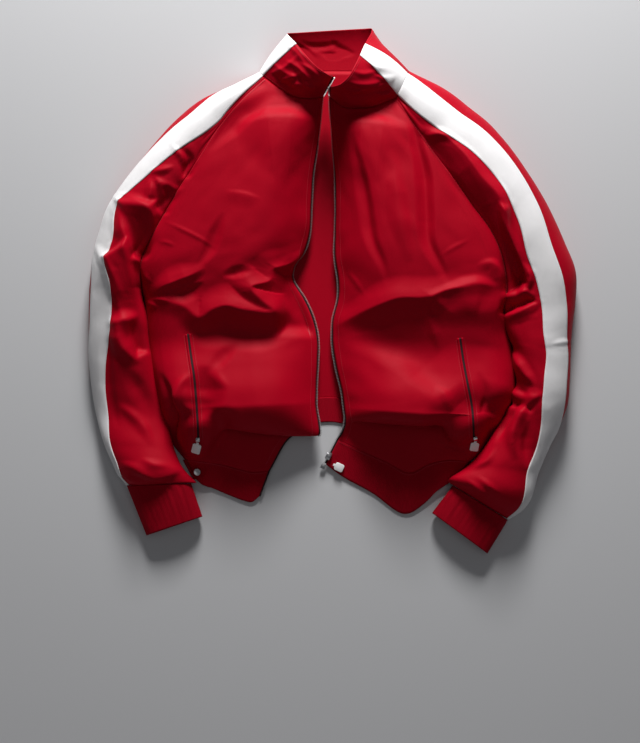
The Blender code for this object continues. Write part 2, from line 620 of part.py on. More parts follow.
# Each seam is opened by moving the pieces' borders apart.
for panel, arm in ((front_l, sleeve_l), (front_r, sleeve_r)):
    n = RAGLAN_ROWS + 1
    step = panel[:n, -2] - panel[:n, -1]
    panel[:n, -1] += SEAM_GAP * step / np.linalg.norm(step, axis=1, keepdims=True)
    step = arm[:n, 1] - arm[:n, 0]
    arm[:n, 0] += SEAM_GAP * step / np.linalg.norm(step, axis=1, keepdims=True)
    step = arm[:n, -2] - arm[:n, -1]
    arm[:n, -1] += SEAM_GAP * step / np.linalg.norm(step, axis=1, keepdims=True)

# Under the white tape the sleeve stands off the floor by the tape's thickness.
BAND = slice(SLEEVE_IN, SLEEVE_IN + SLEEVE_BAND + 1)
for arm in (sleeve_l, sleeve_r):
    arm[:, BAND, 2] = np.maximum(arm[:, BAND, 2], TAPE_LIFT + TAPE)

# The way outwards at every point. At a seam both pieces lean the same way, so that their walls meet in one
# plane instead of running into each other.
out_front_l, out_front_r = -normals_of(front_l), normals_of(front_r)
out_sleeve_l, out_sleeve_r = -normals_of(sleeve_l), normals_of(sleeve_r)
out_back, out_collar, out_hem = normals_of(back), normals_of(collar), -normals_of(hem)


def unit(a):
    return a / np.linalg.norm(a, axis=-1, keepdims=True)


def spread(places, rows, wanted):
    """Rows that stand at places, read at the wanted places."""
    return np.stack([np.interp(wanted, places, rows[:, k]) for k in range(3)], axis=1)


n = RAGLAN_ROWS + 1
for panel, arm in ((out_front_l, out_sleeve_l), (out_front_r, out_sleeve_r)):
    both = unit(panel[:n, -1] + arm[:n, 0])
    panel[:n, -1], arm[:n, 0] = both, both
neck = (
    (front_l[0], out_front_l[0]),
    (sleeve_l[0], out_sleeve_l[0]),
    (back[0][::-1], out_back[0][::-1]),
    (sleeve_r[0][::-1], out_sleeve_r[0][::-1]),
    (front_r[0][::-1], out_front_r[0][::-1]),
)
bottom = out_collar[0].copy()
lines = [(k + along(points) / along(points)[-1], lean) for k, (points, lean) in enumerate(neck)]
every = np.concatenate([line[0] - 1e-6 * (np.arange(len(line[0])) == len(line[0]) - 1) for line in lines])
leans = np.concatenate([line[1] for line in lines])
out_collar[0] = unit(bottom + spread(every, leans, collar_place))
for places, lean in lines:
    lean[:] = unit(lean + spread(collar_place, bottom, places))
    for _ in range(2):
        lean[1:-1] = unit(lean[:-2] + 2 * lean[1:-1] + lean[2:])

count = len(ACROSS)
for panel, cells in ((out_front_l, out_hem[0, :count]), (out_front_r, out_hem[0, ::-1][:count])):
    both = unit(panel[-1] + cells)
    panel[-1], cells[:] = both, both

over_seam = np.zeros(sleeve_l.shape[1])
over_seam[:4] = SEAM_Z
obj_front_l = cloth("front_left", front_l, CLOTH, RED, -1, floor=SEAM_Z, normals=out_front_l)
obj_front_r = cloth("front_right", front_r, CLOTH, RED, -1, floor=SEAM_Z, normals=out_front_r)
cloth("sleeve_left", sleeve_l, CLOTH, RED, -1, floor=over_seam, normals=out_sleeve_l)
cloth("sleeve_right", sleeve_r, CLOTH, RED, -1, floor=over_seam, normals=out_sleeve_r)
cloth("back", back, CLOTH, RED, -1)
cloth("collar", collar, CLOTH, RED, -1, normals=out_collar)
obj_hem = cloth("hem_band", hem, RIB, RED_RIB, -1, normals=out_hem)


def cuff(name, table, inside):
    count = 22
    first, last = (ring(*row, count) for row in table)
    rows = np.stack([first + (last - first) * t for t in np.linspace(0, 1, 4)])
    grid = at(rows[..., 0], rows[..., 1], rows[..., 2])
    cloth(name, grid, RIB, RED_RIB, inside, closed=True)


cuff("cuff_left", CUFF_LEFT, 1)
cuff("cuff_right", CUFF_RIGHT, -1)


# ---------------------------------------------------------------- white bands


def tape(name, panel, columns, lean, ends):
    """A white tape on some columns of a panel, made from its points and moved out."""
    out = lean[:, columns]
    base = panel[:, columns].copy()
    for row, towards in ((0, 1), (-1, -2)):
        step = base[towards] - base[row]
        base[row] += ends * step / np.linalg.norm(step, axis=1, keepdims=True)
    top = base + (TAPE_LIFT + TAPE) * out
    top[..., 2] = np.maximum(top[..., 2], 0)
    wall(name, top, base + TAPE_LIFT * out, WHITE)


tape("sleeve_band_left", sleeve_l, BAND, out_sleeve_l, 0.6)
tape("sleeve_band_right", sleeve_r, BAND, out_sleeve_r, 0.6)
first = len(ACROSS) // 2 + 1  # collar columns over the left front, and the first one of the sleeve
tape("collar_band_left", collar, slice(first, first + SLEEVE_BAND + 1), out_collar, 0.6)
last = collar.shape[1] - 1 - first
tape("collar_band_right", collar, slice(last - SLEEVE_BAND, last + 1), out_collar, 0.6)


# ---------------------------------------------------------------- zips


def zip_half(name, panel, lean, end):
    """Coil and tape edge along a front: collar, front and hem band, clear of the cloth. end is the column
    of the collar and of the hem band that ends here."""
    lines = []
    for grid, n, c, order in (
        (collar, out_collar, end, slice(None, None, -1)),
        (panel, lean, 0, slice(1, None)),
        (hem, out_hem, end, slice(1, None)),
    ):
        near = 1 if c == 0 else -2
        for p, q, m in zip(grid[order, c], grid[order, near], n[order, c]):
            lines.append((p, p - q, m))
    at_p = np.array([line[0] for line in lines])
    out = np.array([line[1] for line in lines])
    up = np.array([line[2] for line in lines])
    along_path = np.gradient(at_p, axis=0)
    along_path /= np.linalg.norm(along_path, axis=1, keepdims=True)
    out -= along_path * (out * along_path).sum(1, keepdims=True)
    out /= np.linalg.norm(out, axis=1, keepdims=True)
    side = np.cross(along_path, out)
    up = side * np.sign((side * up).sum(1, keepdims=True))
    low, high = -CLOTH / 2 - ZIP_THICK / 2, -CLOTH / 2 + ZIP_THICK / 2
    bend = np.zeros((len(at_p), 1))  # where the edge turns sharply the zip keeps further off it
    bend[1:-1, 0] = 1 - (along_path[2:] * along_path[:-2]).sum(1)
    bend[1:-1] = np.maximum(bend[1:-1], np.maximum(bend[:-2], bend[2:]))
    near = ZIP_GAP + np.where(at_p[:, 1:2] < 0, 1.6, 0.3) * bend
    far = near + ZIP_WIDE
    top = np.stack([at_p + near * out + high * up, at_p + far * out + high * up], axis=1)
    under = np.stack([at_p + near * out + low * up, at_p + far * out + low * up], axis=1)
    wall(name, top, under, DARK, rough=0.5)
    return at_p, out, up, along_path


zip_l = zip_half("zip_left", front_l, out_front_l, 0)
zip_half("zip_right", front_r, out_front_r, -1)


def on_top(trees, x, y):
    """Height of the highest cloth at x, y."""
    best = 0.0
    for tree in trees:
        hit = tree.ray_cast(Vector((x, y, 300)), Vector((0, 0, -1)))
        if hit[0] is not None:
            best = max(best, hit[0].z)
    return best


def tree_of(obj):
    verts = [v.co * 1000 for v in obj.data.vertices]
    return BVHTree.FromPolygons(verts, [p.vertices[:] for p in obj.data.polygons])


skins = [tree_of(o) for o in (obj_front_l, obj_front_r, obj_hem)]


def place(u, v):
    """The point of the cloth that is seen on square u, v."""
    z = 30.0
    for _ in range(6):
        x, y, _z = at(u, v, z)
        z = on_top(skins, x, y)
    return np.array([x, y, z])


def pocket_zip(name, line):
    """A narrow zip lying on the cloth along a line, standing clear of every facet under it."""
    line = np.array(line, float)
    run = along(line)
    count = 14
    line = spline(run, line, np.linspace(0, run[-1], count))
    mid = np.array([place(*p) for p in line])
    way = np.gradient(mid, axis=0)
    out = np.stack([way[:, 1], -way[:, 0], 0 * way[:, 0]], axis=1)
    out /= np.linalg.norm(out, axis=1, keepdims=True)
    cols = []
    for side in (-0.5, 0, 0.5):
        pts = mid + side * POCKET_WIDTH * out
        for i, p in enumerate(pts):
            steps = [(a, b) for a in (-0.5, -0.25, 0, 0.25, 0.5) for b in (-1.5, 0, 1.5)]
            around = [p + a * way[i] + b * out[i] for a, b in steps]
            p[2] = max(on_top(skins, q[0], q[1]) for q in around) + POCKET_LIFT
        cols.append(pts)
    low = np.stack(cols, axis=1)
    wall(name, low + (0, 0, POCKET_STRIP), low, DARK, rough=0.5)
    return low[-1, 1] + (0, 0, POCKET_STRIP), low[-1, 1] - low[-3, 1], np.append(out[-1][:2], 0)


def plate(name, outline, thick, origin, forward, up, colour, **look):
    """An outline in the plane of forward and sideways, thickened upwards from the origin's plane."""
    f = np.array(forward, float)
    u = np.array(up, float)
    f -= u * (f @ u)
    f /= np.linalg.norm(f)
    s = np.cross(u, f)
    n = len(outline)
    low = np.array([origin + a * f + b * s for a, b in outline])
    points = np.concatenate([low, low + thick * u])
    faces = [tuple(range(n))[::-1], tuple(range(n, 2 * n))]
    faces += [(k, (k + 1) % n, n + (k + 1) % n, n + k) for k in range(n)]
    return new_object(name, points, faces, colour, **look)


def slider(name, origin, forward, up, long, wide):
    """A zip slider: its side outline, a base with a lug for the pull tab, as wide as the slider."""
    f = np.array(forward, float)
    u = np.array(up, float)
    f -= u * (f @ u)
    f /= np.linalg.norm(f)
    s = np.cross(u, f)
    base = ((-0.5, 0), (0.5, 0), (0.5, 1.6), (0.3, 1.9))
    outline = base + ((0.22, 3.4), (-0.22, 3.4), (-0.32, 1.9), (-0.5, 1.3))
    n = len(outline)
    low = np.array([origin + a * long * f + b * u - wide / 2 * s for a, b in outline])
    points = np.concatenate([low, low + wide * s])
    faces = [tuple(range(n)), tuple(range(n, 2 * n))[::-1]]
    faces += [((k + 1) % n, k, n + k, n + (k + 1) % n) for k in range(n)]
    new_object(name, points, faces, SILVER, rough=0.35, metal=1.0)


def tab(name, origin, forward, up, long, wide):
    """A white pull tab: a plate with rounded corners and a narrow neck at its hinge."""
    r, neck, w = 1.6, 3.0, wide / 2
    corners = [(neck, w - r), (neck + r, w), (long - r, w), (long, w - r)]
    outline = [(0, 1.8), (neck - 0.4, 1.8)] + corners
    outline += [(a, -b) for a, b in outline[::-1]]
    plate(name, outline, TAB_THICK, origin, forward, up, WHITE, rough=0.45)


def hang_tab(name, root, start, stop, long, wide):
    """A pull tab from its root down the cloth, in the way from square start to square stop, held clear."""
    a, b = place(*start), place(*stop)
    aim = (b - a) / np.linalg.norm(b - a)
    aside = np.array([aim[1], -aim[0], 0]) / np.hypot(aim[0], aim[1])
    lift = 0.0
    for far in np.linspace(0, long, 7):
        for off in (-wide / 2, 0, wide / 2):
            p = root + far * aim + off * aside
            lift = max(lift, on_top(skins, p[0], p[1]) + 0.5 - p[2])
    up = np.cross(aside, aim)
    up *= np.sign(up[2])
    tab(name, root + (0, 0, lift), aim, up, long, wide)
    hinge = root + (0, 0, lift) + TAB_THICK * up
    print(name, "turns up about", (hinge / 1000).round(5), "axis", aside.round(4))


# pocket zips, each with its slider at the lower end and the tab hanging on down the front: side, line,
# height of the slider over the zip in mm, then the tab's way from square to square, its length and width
for side, line, seat_lift, hang in (
    ("left", POCKET_LEFT, 1.3, ((472.4, 443), (470.4, 453), 16.5, 12.0)),
    ("right", POCKET_RIGHT, 0.7, ((197.4, 447), (194.6, 458), 19.0, 12.5)),
):
    end, way, across = pocket_zip("pocket_zip_" + side, line)
    start, stop, long, wide = hang
    way /= np.linalg.norm(way)
    up = np.cross(across, way)
    up = up / np.linalg.norm(up) * np.sign(up[2])
    seat = end - 4.5 * way + seat_lift * up
    slider("slider_" + side, seat, way, up, 8.0, 5.5)
    hang_tab("tab_" + side, seat + 4.8 * way + 1.2 * up, start, stop, long, wide)

# front zip: end box and slider on the lower end of the left half, its tab lying on the hem band
at_p, out, up, way = zip_l
k = len(at_p) - 2
mid = at_p[k] + (ZIP_GAP + ZIP_WIDE / 2) * out[k]
top_face = -CLOTH / 2 + ZIP_THICK / 2 + 0.3
slider("slider_main", mid + top_face * up[k], way[k], up[k], 11.0, 7.0)
end = at_p[-1] + (ZIP_GAP + ZIP_WIDE / 2) * out[-1] + 0.4 * way[-1]
box = ((0, -3.2), (7.5, -3.2), (7.5, 3.2), (0, 3.2))
plate("zip_box", box, 2.8, end - 2.0 * up[-1], way[-1], up[-1], SILVER, rough=0.35, metal=1.0)
hang_tab("tab_main", place(333.2, 464.4) + (0, 0, 0.6), (333.2, 464.4), (343, 469), 16.0, 11.5)

# snap on the hem band
centre = place(197, 472)
rings = ((1.0, 0.0), (1.0, 0.55), (0.78, 1.0), (0.35, 0.8))
count = 16
points, faces = [], []
lift = max(place(197 + a, 472 + b)[2] for a in (-3.8, 0, 3.8) for b in (-3.8, 0, 3.8)) + 0.3
for radius, level in rings:
    for i in range(count):
        a = 2 * math.pi * i / count
        points.append(
            np.array([centre[0], centre[1], lift])
            + (SNAP_D / 2 * radius * math.cos(a), SNAP_D / 2 * radius * math.sin(a), SNAP_H * level)
        )
faces.append(tuple(range(count))[::-1])
for r in range(len(rings) - 1):
    for i in range(count):
        j = (i + 1) % count
        faces.append((r * count + i, r * count + j, (r + 1) * count + j, (r + 1) * count + i))
faces.append(tuple(range((len(rings) - 1) * count, len(rings) * count)))
new_object("hem_snap", points, faces, SILVER, rough=0.35, metal=1.0)

lo = np.full(3, 1e9)
hi = -lo
total = 0
for obj in bpy.data.objects:
    p = np.array([v.co[:] for v in obj.data.vertices]) * 1000
    lo, hi = np.minimum(lo, p.min(0)), np.maximum(hi, p.max(0))
    count = sum(len(f.vertices) - 2 for f in obj.data.polygons)
    total += count
    print(obj.name, count, p.min(0).round(1), p.max(0).round(1))
print("box", lo.round(2), hi.round(2), "mid", ((lo + hi) / 2).round(2), "triangles", total)
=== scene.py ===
# %% [markdown]
# # A windproof jacket laid open on the floor
# The jacket is thin red wind cloth with an elastic rib at the hem and the wrists. It was dropped on its back
# with some air left in it, so fronts and sleeves stand up in soft billows and break into creases.
# This lesson builds every piece from a few short tables: the lines that a tailor would know, such as the zip
# edge, the raglan seam and the wrist, and then the folds one by one.

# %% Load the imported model
import math

import bmesh
import bpy
import numpy as np
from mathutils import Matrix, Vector
from mathutils.bvhtree import BVHTree


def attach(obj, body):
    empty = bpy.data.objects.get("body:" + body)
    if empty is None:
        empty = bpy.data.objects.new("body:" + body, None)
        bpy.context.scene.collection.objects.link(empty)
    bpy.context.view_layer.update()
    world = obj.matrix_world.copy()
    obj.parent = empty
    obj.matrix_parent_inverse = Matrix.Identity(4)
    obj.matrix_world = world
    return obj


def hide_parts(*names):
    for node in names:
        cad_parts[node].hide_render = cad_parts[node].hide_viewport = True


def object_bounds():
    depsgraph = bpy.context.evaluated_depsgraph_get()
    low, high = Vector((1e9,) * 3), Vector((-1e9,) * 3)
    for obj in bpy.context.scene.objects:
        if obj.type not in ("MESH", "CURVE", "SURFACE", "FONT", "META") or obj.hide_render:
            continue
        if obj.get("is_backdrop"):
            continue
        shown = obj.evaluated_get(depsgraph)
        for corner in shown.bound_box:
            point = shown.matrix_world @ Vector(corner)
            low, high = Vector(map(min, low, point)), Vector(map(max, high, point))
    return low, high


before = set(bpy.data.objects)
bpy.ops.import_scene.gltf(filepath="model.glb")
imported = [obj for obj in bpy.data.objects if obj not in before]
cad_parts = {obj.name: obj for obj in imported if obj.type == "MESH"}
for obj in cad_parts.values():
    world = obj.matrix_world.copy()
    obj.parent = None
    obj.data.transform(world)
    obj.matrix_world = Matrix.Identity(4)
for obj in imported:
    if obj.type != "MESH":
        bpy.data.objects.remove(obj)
cad_low, cad_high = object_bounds()
BODY = "jacket"
print("nodes:", len(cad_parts), "box:", [round(x, 3) for x in (*cad_low, *cad_high)])

# %% [markdown]
# ## The plan grid
# The jacket is drawn on a plan grid, as it looks from an eye straight above it: u to the right, v down. One
# square is 1.45 mm on the floor. A point that stands higher is nearer to the eye, so its place on the floor
# plan is worked out from its square and its height. All is in millimetres until it becomes a mesh.

# %% Plan grid
GRID = 1.45  # mm on the floor
EYE_U, EYE_V, EYE_Z = 320.0, 371.5, 1600.0  # the square below the eye, and the eye's height in mm
MID_U, MID_V = 332.2, 291.7  # the square at the model's origin


def at(u, v, z):
    """The point of height z that is seen on square u, v."""
    near = 1 - z / EYE_Z
    x = (u - EYE_U) * GRID * near + (EYE_U - MID_U) * GRID
    y = (EYE_V - v) * GRID * near + (MID_V - EYE_V) * GRID
    return np.stack(np.broadcast_arrays(x, y, z), axis=-1)


def all_at(rows):
    """Rows of u, v, z as points."""
    return at(rows[..., 0], rows[..., 1], rows[..., 2])


def squares(points):
    """The squares u, v on which points are seen."""
    near = (1 - points[..., 2] / EYE_Z) * GRID
    u = EYE_U + (points[..., 0] - (EYE_U - MID_U) * GRID) / near
    v = EYE_V - (points[..., 1] - (MID_V - EYE_V) * GRID) / near
    return u, v


print("square 320, 371 on the floor is at", at(320.0, 371.0, 0.0).round(1))

# %% [markdown]
# ## Smooth lines through few points
# A seam is drawn with a handful of points and a smooth curve through them. The curve below goes through every
# point and takes its slope from the neighbours, so it never swings out far between them.

# %% Smooth lines


def spline(knots, rows, places):
    """A smooth curve through rows, which stand at knots, read at places."""
    x, y, q = np.asarray(knots, float), np.asarray(rows, float), np.asarray(places, float)
    step = x[1:] - x[:-1]
    shape = (-1,) + (1,) * (y.ndim - 1)
    slope = (y[1:] - y[:-1]) / step.reshape(shape)
    lead = (step[1:] / (step[1:] + step[:-1])).reshape(shape)
    tangent = np.concatenate([slope[:1], lead * slope[:-1] + (1 - lead) * slope[1:], slope[-1:]])
    i = np.clip(np.searchsorted(x, q, side="right") - 1, 0, len(x) - 2)
    f = ((q - x[i]) / step[i]).reshape(shape)
    h = step[i].reshape(shape)
    return (
        (2 * f**3 - 3 * f**2 + 1) * y[i]
        + (f**3 - 2 * f**2 + f) * h * tangent[i]
        + (3 * f**2 - 2 * f**3) * y[i + 1]
        + (f**3 - f**2) * h * tangent[i + 1]
    )


def along(points):
    """Distance travelled at each point of a line."""
    steps = np.linalg.norm(np.diff(np.asarray(points, float), axis=0), axis=1)
    return np.concatenate([[0], np.cumsum(steps)])


def read_at(places, run, rows):
    """Rows that stand at distances run, read at places by straight steps."""
    return np.stack([np.interp(places, run, column) for column in rows.T], axis=1)


print("between 1 and 4 a curve through 0, 1, 4 reads", spline((0, 1, 2), (0, 1, 4), [1.5]).round(2))

# %% [markdown]
# Three small tools are used on every piece: a soft step from 0 to 1, the normals of a grid of points, and an
# average over neighbours that calms a grid down.

# %% Small tools for grids


def ease(x):
    """0 below 0, 1 above 1 and a soft step between."""
    x = np.clip(x, 0, 1)
    return x * x * (3 - 2 * x)


def unit(a):
    """Vectors brought to length 1."""
    return a / np.maximum(np.linalg.norm(a, axis=-1, keepdims=True), 1e-9)


def normals_of(grid, closed=False):
    """Unit normals of a grid of points."""
    if closed:
        across = np.roll(grid, -1, axis=1) - np.roll(grid, 1, axis=1)
    else:
        across = np.gradient(grid, axis=1)
    return unit(np.cross(across, np.gradient(grid, axis=0)))


def calmed(a, passes, closed=False):
    """A grid of vectors, each drawn towards its neighbours a few times."""
    a = a.copy()
    for _ in range(passes):
        if closed:
            a = 0.5 * a + 0.25 * (np.roll(a, 1, axis=1) + np.roll(a, -1, axis=1))
        else:
            a[:, 1:-1] = 0.5 * a[:, 1:-1] + 0.25 * (a[:, :-2] + a[:, 2:])
        a[1:-1] = 0.5 * a[1:-1] + 0.25 * (a[:-2] + a[2:])
    return a


print("the soft step at 0, a quarter and a half:", ease(np.array([0, 0.25, 0.5])).round(2))

# %% [markdown]
# ## The cut of the fronts and the raglan sleeves
# A raglan sleeve runs up to the collar, so the front and the sleeve share one long slanting seam. Each row of
# these tables is a station on that seam, from the collar to the underarm: where the zip edge lies, how high
# the front stands, where the seam runs, and where the sleeve's outer edge and its seam with the back are.

# %% Stations of the fronts and sleeves
SEAM_Z = 1.8  # mm, a side seam stands this far over the back panel
EDGE = 1.0  # mm, and the outer face of the upper piece this much over the seam
# zip edge u, v, z | crown of the front | seam of front and sleeve u, v, z | outer edge of the sleeve u, v |
# crown of the sleeve | seam of sleeve and back u, v | inner edge of the white band, share of the way out
RAGLAN_LEFT = (
    (330.0, 97, 26, 40, 396, 98, 42, 409, 71, 48, 401.0, 71.5, 0.12),
    (331.0, 118, 24, 48, 411, 119, 50, 437, 84.5, 58, 422, 98, 0.20),
    (333.0, 146, 20, 54, 432, 149, 54, 466, 105, 62, 443, 130, 0.36),
    (335.5, 178, 18, 58, 455, 180, 54, 495, 130, 64, 465, 163, 0.50),
    (336.0, 205, 17, 59, 473, 206, 52, 520, 161, 65, 483, 193, 0.54),
    (335.5, 232, 16, 60, 492, 232, 50, 544, 199, 64, 499, 222, 0.47),
    (335.5, 258, 16, 59, 504, 262, 46, 565, 243, 62, 508, 255, 0.38),
    (339.0, 282, 16, 55, 507, 290, 38, 576, 275, 58, 511, 288, 0.43),
    (338.5, 300, 15, 50, 504, 312, 26, 575, 305, 56, 511, 315, 0.53),
    (333.5, 320, 13, 44, 508, 330, 12, 572, 332, 56, 513, 333, 0.55),
    (333.0, 340, 13, 41, 514, 350, SEAM_Z, 570.5, 355, 55, 514, 350, 0.57),
)
RAGLAN_RIGHT = (
    (322.4, 97, 26, 40, 265, 78, 38, 259.5, 72.5, 38, 272.0, 71.5, 0.10),
    (320.5, 118, 24, 47, 247, 94, 47, 235, 84.5, 49, 251, 91, 0.08),
    (317.0, 146, 20, 53, 219, 126, 53, 197, 103, 57, 222, 123, 0.12),
    (312.5, 178, 18, 57, 195, 163, 54, 163, 134, 60, 198, 158, 0.48),
    (311.0, 205, 17, 58, 177, 191, 52, 134, 169, 61, 180, 188, 0.70),
    (309.5, 232, 16, 58, 162, 217, 49, 111, 202, 60, 166, 215, 0.84),
    (303.0, 254, 16, 57, 149, 242, 44, 99.5, 231, 58, 155, 242, 0.72),
    (294.0, 268, 15, 54, 140, 266, 36, 92.5, 259, 57, 148, 266, 0.68),
    (293.0, 281, 14, 50, 141, 284, 24, 90, 280, 54, 145, 284, 0.58),
    (303.0, 298, 13, 46, 143, 300, SEAM_Z, 89, 298, 50, 143, 300, 0.57),
)
# Sides below the underarm: zip edge u, v, z | crown of the front | side edge u, v, z
SIDE_LEFT = (
    (336.5, 366, 15, 49, 517, 374, SEAM_Z),
    (342.0, 390, 18, 60, 514.5, 397, SEAM_Z),
    (344.5, 408, 20, 63, 504, 419, SEAM_Z),
)
SIDE_RIGHT = (
    (312.0, 318, 13, 42, 144.5, 322, SEAM_Z),
    (317.0, 340, 13, 39, 147, 345, SEAM_Z),
    (317.0, 362, 15, 47, 150, 368, SEAM_Z),
    (316.0, 385, 17, 57, 155.5, 390, SEAM_Z),
    (315.5, 403, 22, 61, 160, 410, SEAM_Z),
)
RAGLAN_ROWS, SIDE_ROWS, CURL_ROWS = 160, 46, 46
print("stations:", len(RAGLAN_LEFT), "left,", len(RAGLAN_RIGHT), "right")

# %% [markdown]
# The fronts are longer than they need to be, so they blouse over the elastic hem band: the cloth hangs over,
# turns under and comes out again where the band is sewn on. The next table gives that roll at several shares
# of the way from the zip to the side seam.

# %% The blouse over the hem band, and the arms
# share | edge of the overhang u, v, z | its underside | cloth coming out again | seam with the band |
# lower edge of the band
BLOUSE_LEFT = (
    (0.00, 346, 421, 19, 345.5, 427, 16, 342.5, 434, 11, 338.3, 440, 7.5, 326, 464.5, 5),
    (0.10, 360, 421.5, 27, 359, 420, 16, 356, 434, 10, 352, 446.5, 8.5, 340, 475, 3),
    (0.30, 391, 424.5, 33, 389, 417, 15, 386, 438, 10, 386, 461.5, 9.5, 372, 493, 2.4),
    (0.50, 420, 426, 34, 417, 418, 15, 413, 445, 11, 411, 472.5, 10.5, 405, 514, 2.4),
    (0.65, 441, 428.5, 33, 436, 423, 15, 431, 440, 12, 430, 463.5, 10.5, 425, 503, 4),
    (0.75, 454, 440, 31, 450, 442, 16, 449, 450, 13, 446, 460, 11, 436, 492, 6),
    (0.85, 473, 441, 31, 471, 450, 17, 467, 456, 11, 460, 460, 9.5, 446, 485, 7),
    (1.00, 494, 436, 2.8, 486, 446, 3.4, 478, 455, 4.8, 470, 462, 6.3, 455, 480, 6.3),
)
BLOUSE_RIGHT = (
    (0.00, 316.5, 436, 21, 306, 430, 12, 288, 438, 8, 268.5, 470.5, 5.5, 258.5, 497, 4),
    (0.12, 299, 436, 22, 291, 424, 12.5, 277, 439, 8.5, 262, 471.5, 6.5, 252, 502, 3),
    (0.25, 281, 435, 24, 273, 421, 13, 265, 441, 9.5, 252, 472, 7.5, 243, 500.5, 2.6),
    (0.40, 258, 433, 26, 252, 420, 13, 249, 443, 10, 239, 469, 8.5, 231, 496, 2.4),
    (0.55, 234, 430, 31, 233, 423, 15, 232, 447, 11, 226, 465.5, 9.5, 219, 491, 2.6),
    (0.63, 221, 431, 31, 221, 436, 19, 221, 448, 13, 217.5, 463.5, 10, 212, 488, 3),
    (0.72, 207, 440, 40, 207.5, 450, 24, 207, 455, 15, 207, 461.5, 10, 208, 487, 4),
    (0.85, 188, 443, 35, 190, 452, 20, 192, 456.5, 11, 195.5, 460, 9, 202, 484.5, 6),
    (1.00, 167.5, 434, 2.8, 173, 444, 3.4, 179, 452, 4.8, 185, 459.5, 6.3, 195.5, 479, 6.3),
)
# Back hem, riding up in the middle: share of the way across, seam u, v, lower edge of the band u, v
BACK_HEM = (
    (0.00, 185, 459.5, 195.5, 479),
    (0.08, 206, 451, 216, 473),
    (0.20, 240, 431, 246, 455),
    (0.35, 284, 409, 287, 434),
    (0.50, 326, 397, 326, 422),
    (0.65, 371, 406, 367, 431),
    (0.80, 418, 428, 411, 452),
    (0.92, 450, 450, 440, 470),
    (1.00, 470, 462, 455, 480),
)
# Arms from the underarm to the wrist: inner edge u, v | outer edge u, v | crown | white band as above
ARM_LEFT = (
    (519, 375, 570, 381, 54, 0.49),
    (516.5, 398, 567.5, 404, 52, 0.50),
    (506, 420, 558.5, 428, 48, 0.66),
    (492, 444, 549, 447, 47, 0.78),
    (476.5, 464, 539, 471, 47, 0.82),
    (455.5, 481.5, 521.5, 510.5, 42, 0.94),
    (452.8, 485, 508.2, 519.4, 28, 0.97),
)
ARM_RIGHT = (
    (143, 330, 88.7, 328, 48, 0.61),
    (147, 360, 89.3, 357, 43, 0.72),
    (153.5, 390, 92, 386, 35, 0.79),
    (161, 420, 97, 416, 29, 0.82),
    (168, 447, 104.5, 443, 37, 0.90),
    (176, 466, 114, 465, 42, 0.93),
    (190.7, 482.9, 126.3, 485, 32, 0.96),
)
ARM_ROWS = 86
print("rows across the blouse:", len(BLOUSE_LEFT), "left,", len(BLOUSE_RIGHT), "right")

# %% [markdown]
# ## Panels without their folds
# A panel is a grid of points. A curve through the stations gives the rows of a front, and each row is bent:
# up from the zip edge, level over the body, and down at the side in a round roll.

# %% Fronts
ACROSS = np.linspace(0, 1, 111)
CLOSER = 1.3  # over 1, so the rows draw closer together towards the underarm
CROWN_AT = 0.4  # share of the way across at which a front has reached its crown
ROLL, ROLL_MORE = 48, 12  # mm of a row that bend down at its side, and more where the edge stands high
ROLL_SHAPE = 2.2  # 2 is an ellipse, and more is squarer


def stations(raglan, side):
    """Dense rows of the stations, above and below the underarm."""
    raglan = np.array(raglan, float)
    knots = along(raglan[:, 4:6])
    share = 1 - (1 - np.linspace(0, 1, RAGLAN_ROWS + 1)) ** CLOSER
    upper = spline(knots, raglan, share * knots[-1])
    upper[:, 6] = np.maximum(upper[:, 6], SEAM_Z + EDGE)
    lower = np.concatenate([raglan[-2:, :7], np.array(side, float)])
    knots = along(lower[:, 4:6])
    lower = spline(knots, lower, np.linspace(knots[1], knots[-1], SIDE_ROWS + 1))
    lower[:, 6] = SEAM_Z + EDGE
    return upper, lower


def front_panel(upper, lower, blouse, neck):
    """A front: rows from the neck to the hem band, columns from the zip to the side."""
    body = np.concatenate([upper[:, :7], lower[1:]])
    zu, zv, zz, crown, eu, ev, ez = body.T[:, :, None]
    s = ACROSS[None, :]
    u, v = zu + (eu - zu) * s, zv + (ev - zv) * s
    fade = np.linspace(1, -1.2, len(body)).clip(0)[:, None] ** 1.5  # the neck line is gone halfway down
    v = v + (spline(neck[0], neck[1], ACROSS) - v[0])[None, :] * fade
    top = zz + (crown - zz) * (1 - (1 - np.clip(s / CROWN_AT, 0, 1)) ** 2)
    width = np.hypot(eu - zu, ev - zv) * (1 - s) * GRID
    roll = ROLL + ROLL_MORE * ease((ez - 20) / 20)
    roll = (1 - (1 - np.clip(width / roll, 0, 1)) ** ROLL_SHAPE) ** (1 / ROLL_SHAPE)
    rows = at(u, v, ez + (top - ez) * roll)
    table = np.array(blouse, float)
    curl = []
    for k in range(4):
        curl.append(all_at(spline(table[:, 0], table[:, 1 + 3 * k : 4 + 3 * k], ACROSS)))
    key = np.stack([rows[-9], rows[-1], *curl])
    knots = np.array([along(key[:, c]) for c in range(key.shape[1])]).mean(axis=0)
    places = knots[1] + (knots[-1] - knots[1]) * np.linspace(0, 1, CURL_ROWS + 1)[1:]
    return np.concatenate([rows, spline(knots, key, places)])


upper_l, lower_l = stations(RAGLAN_LEFT, SIDE_LEFT)
upper_r, lower_r = stations(RAGLAN_RIGHT, SIDE_RIGHT)
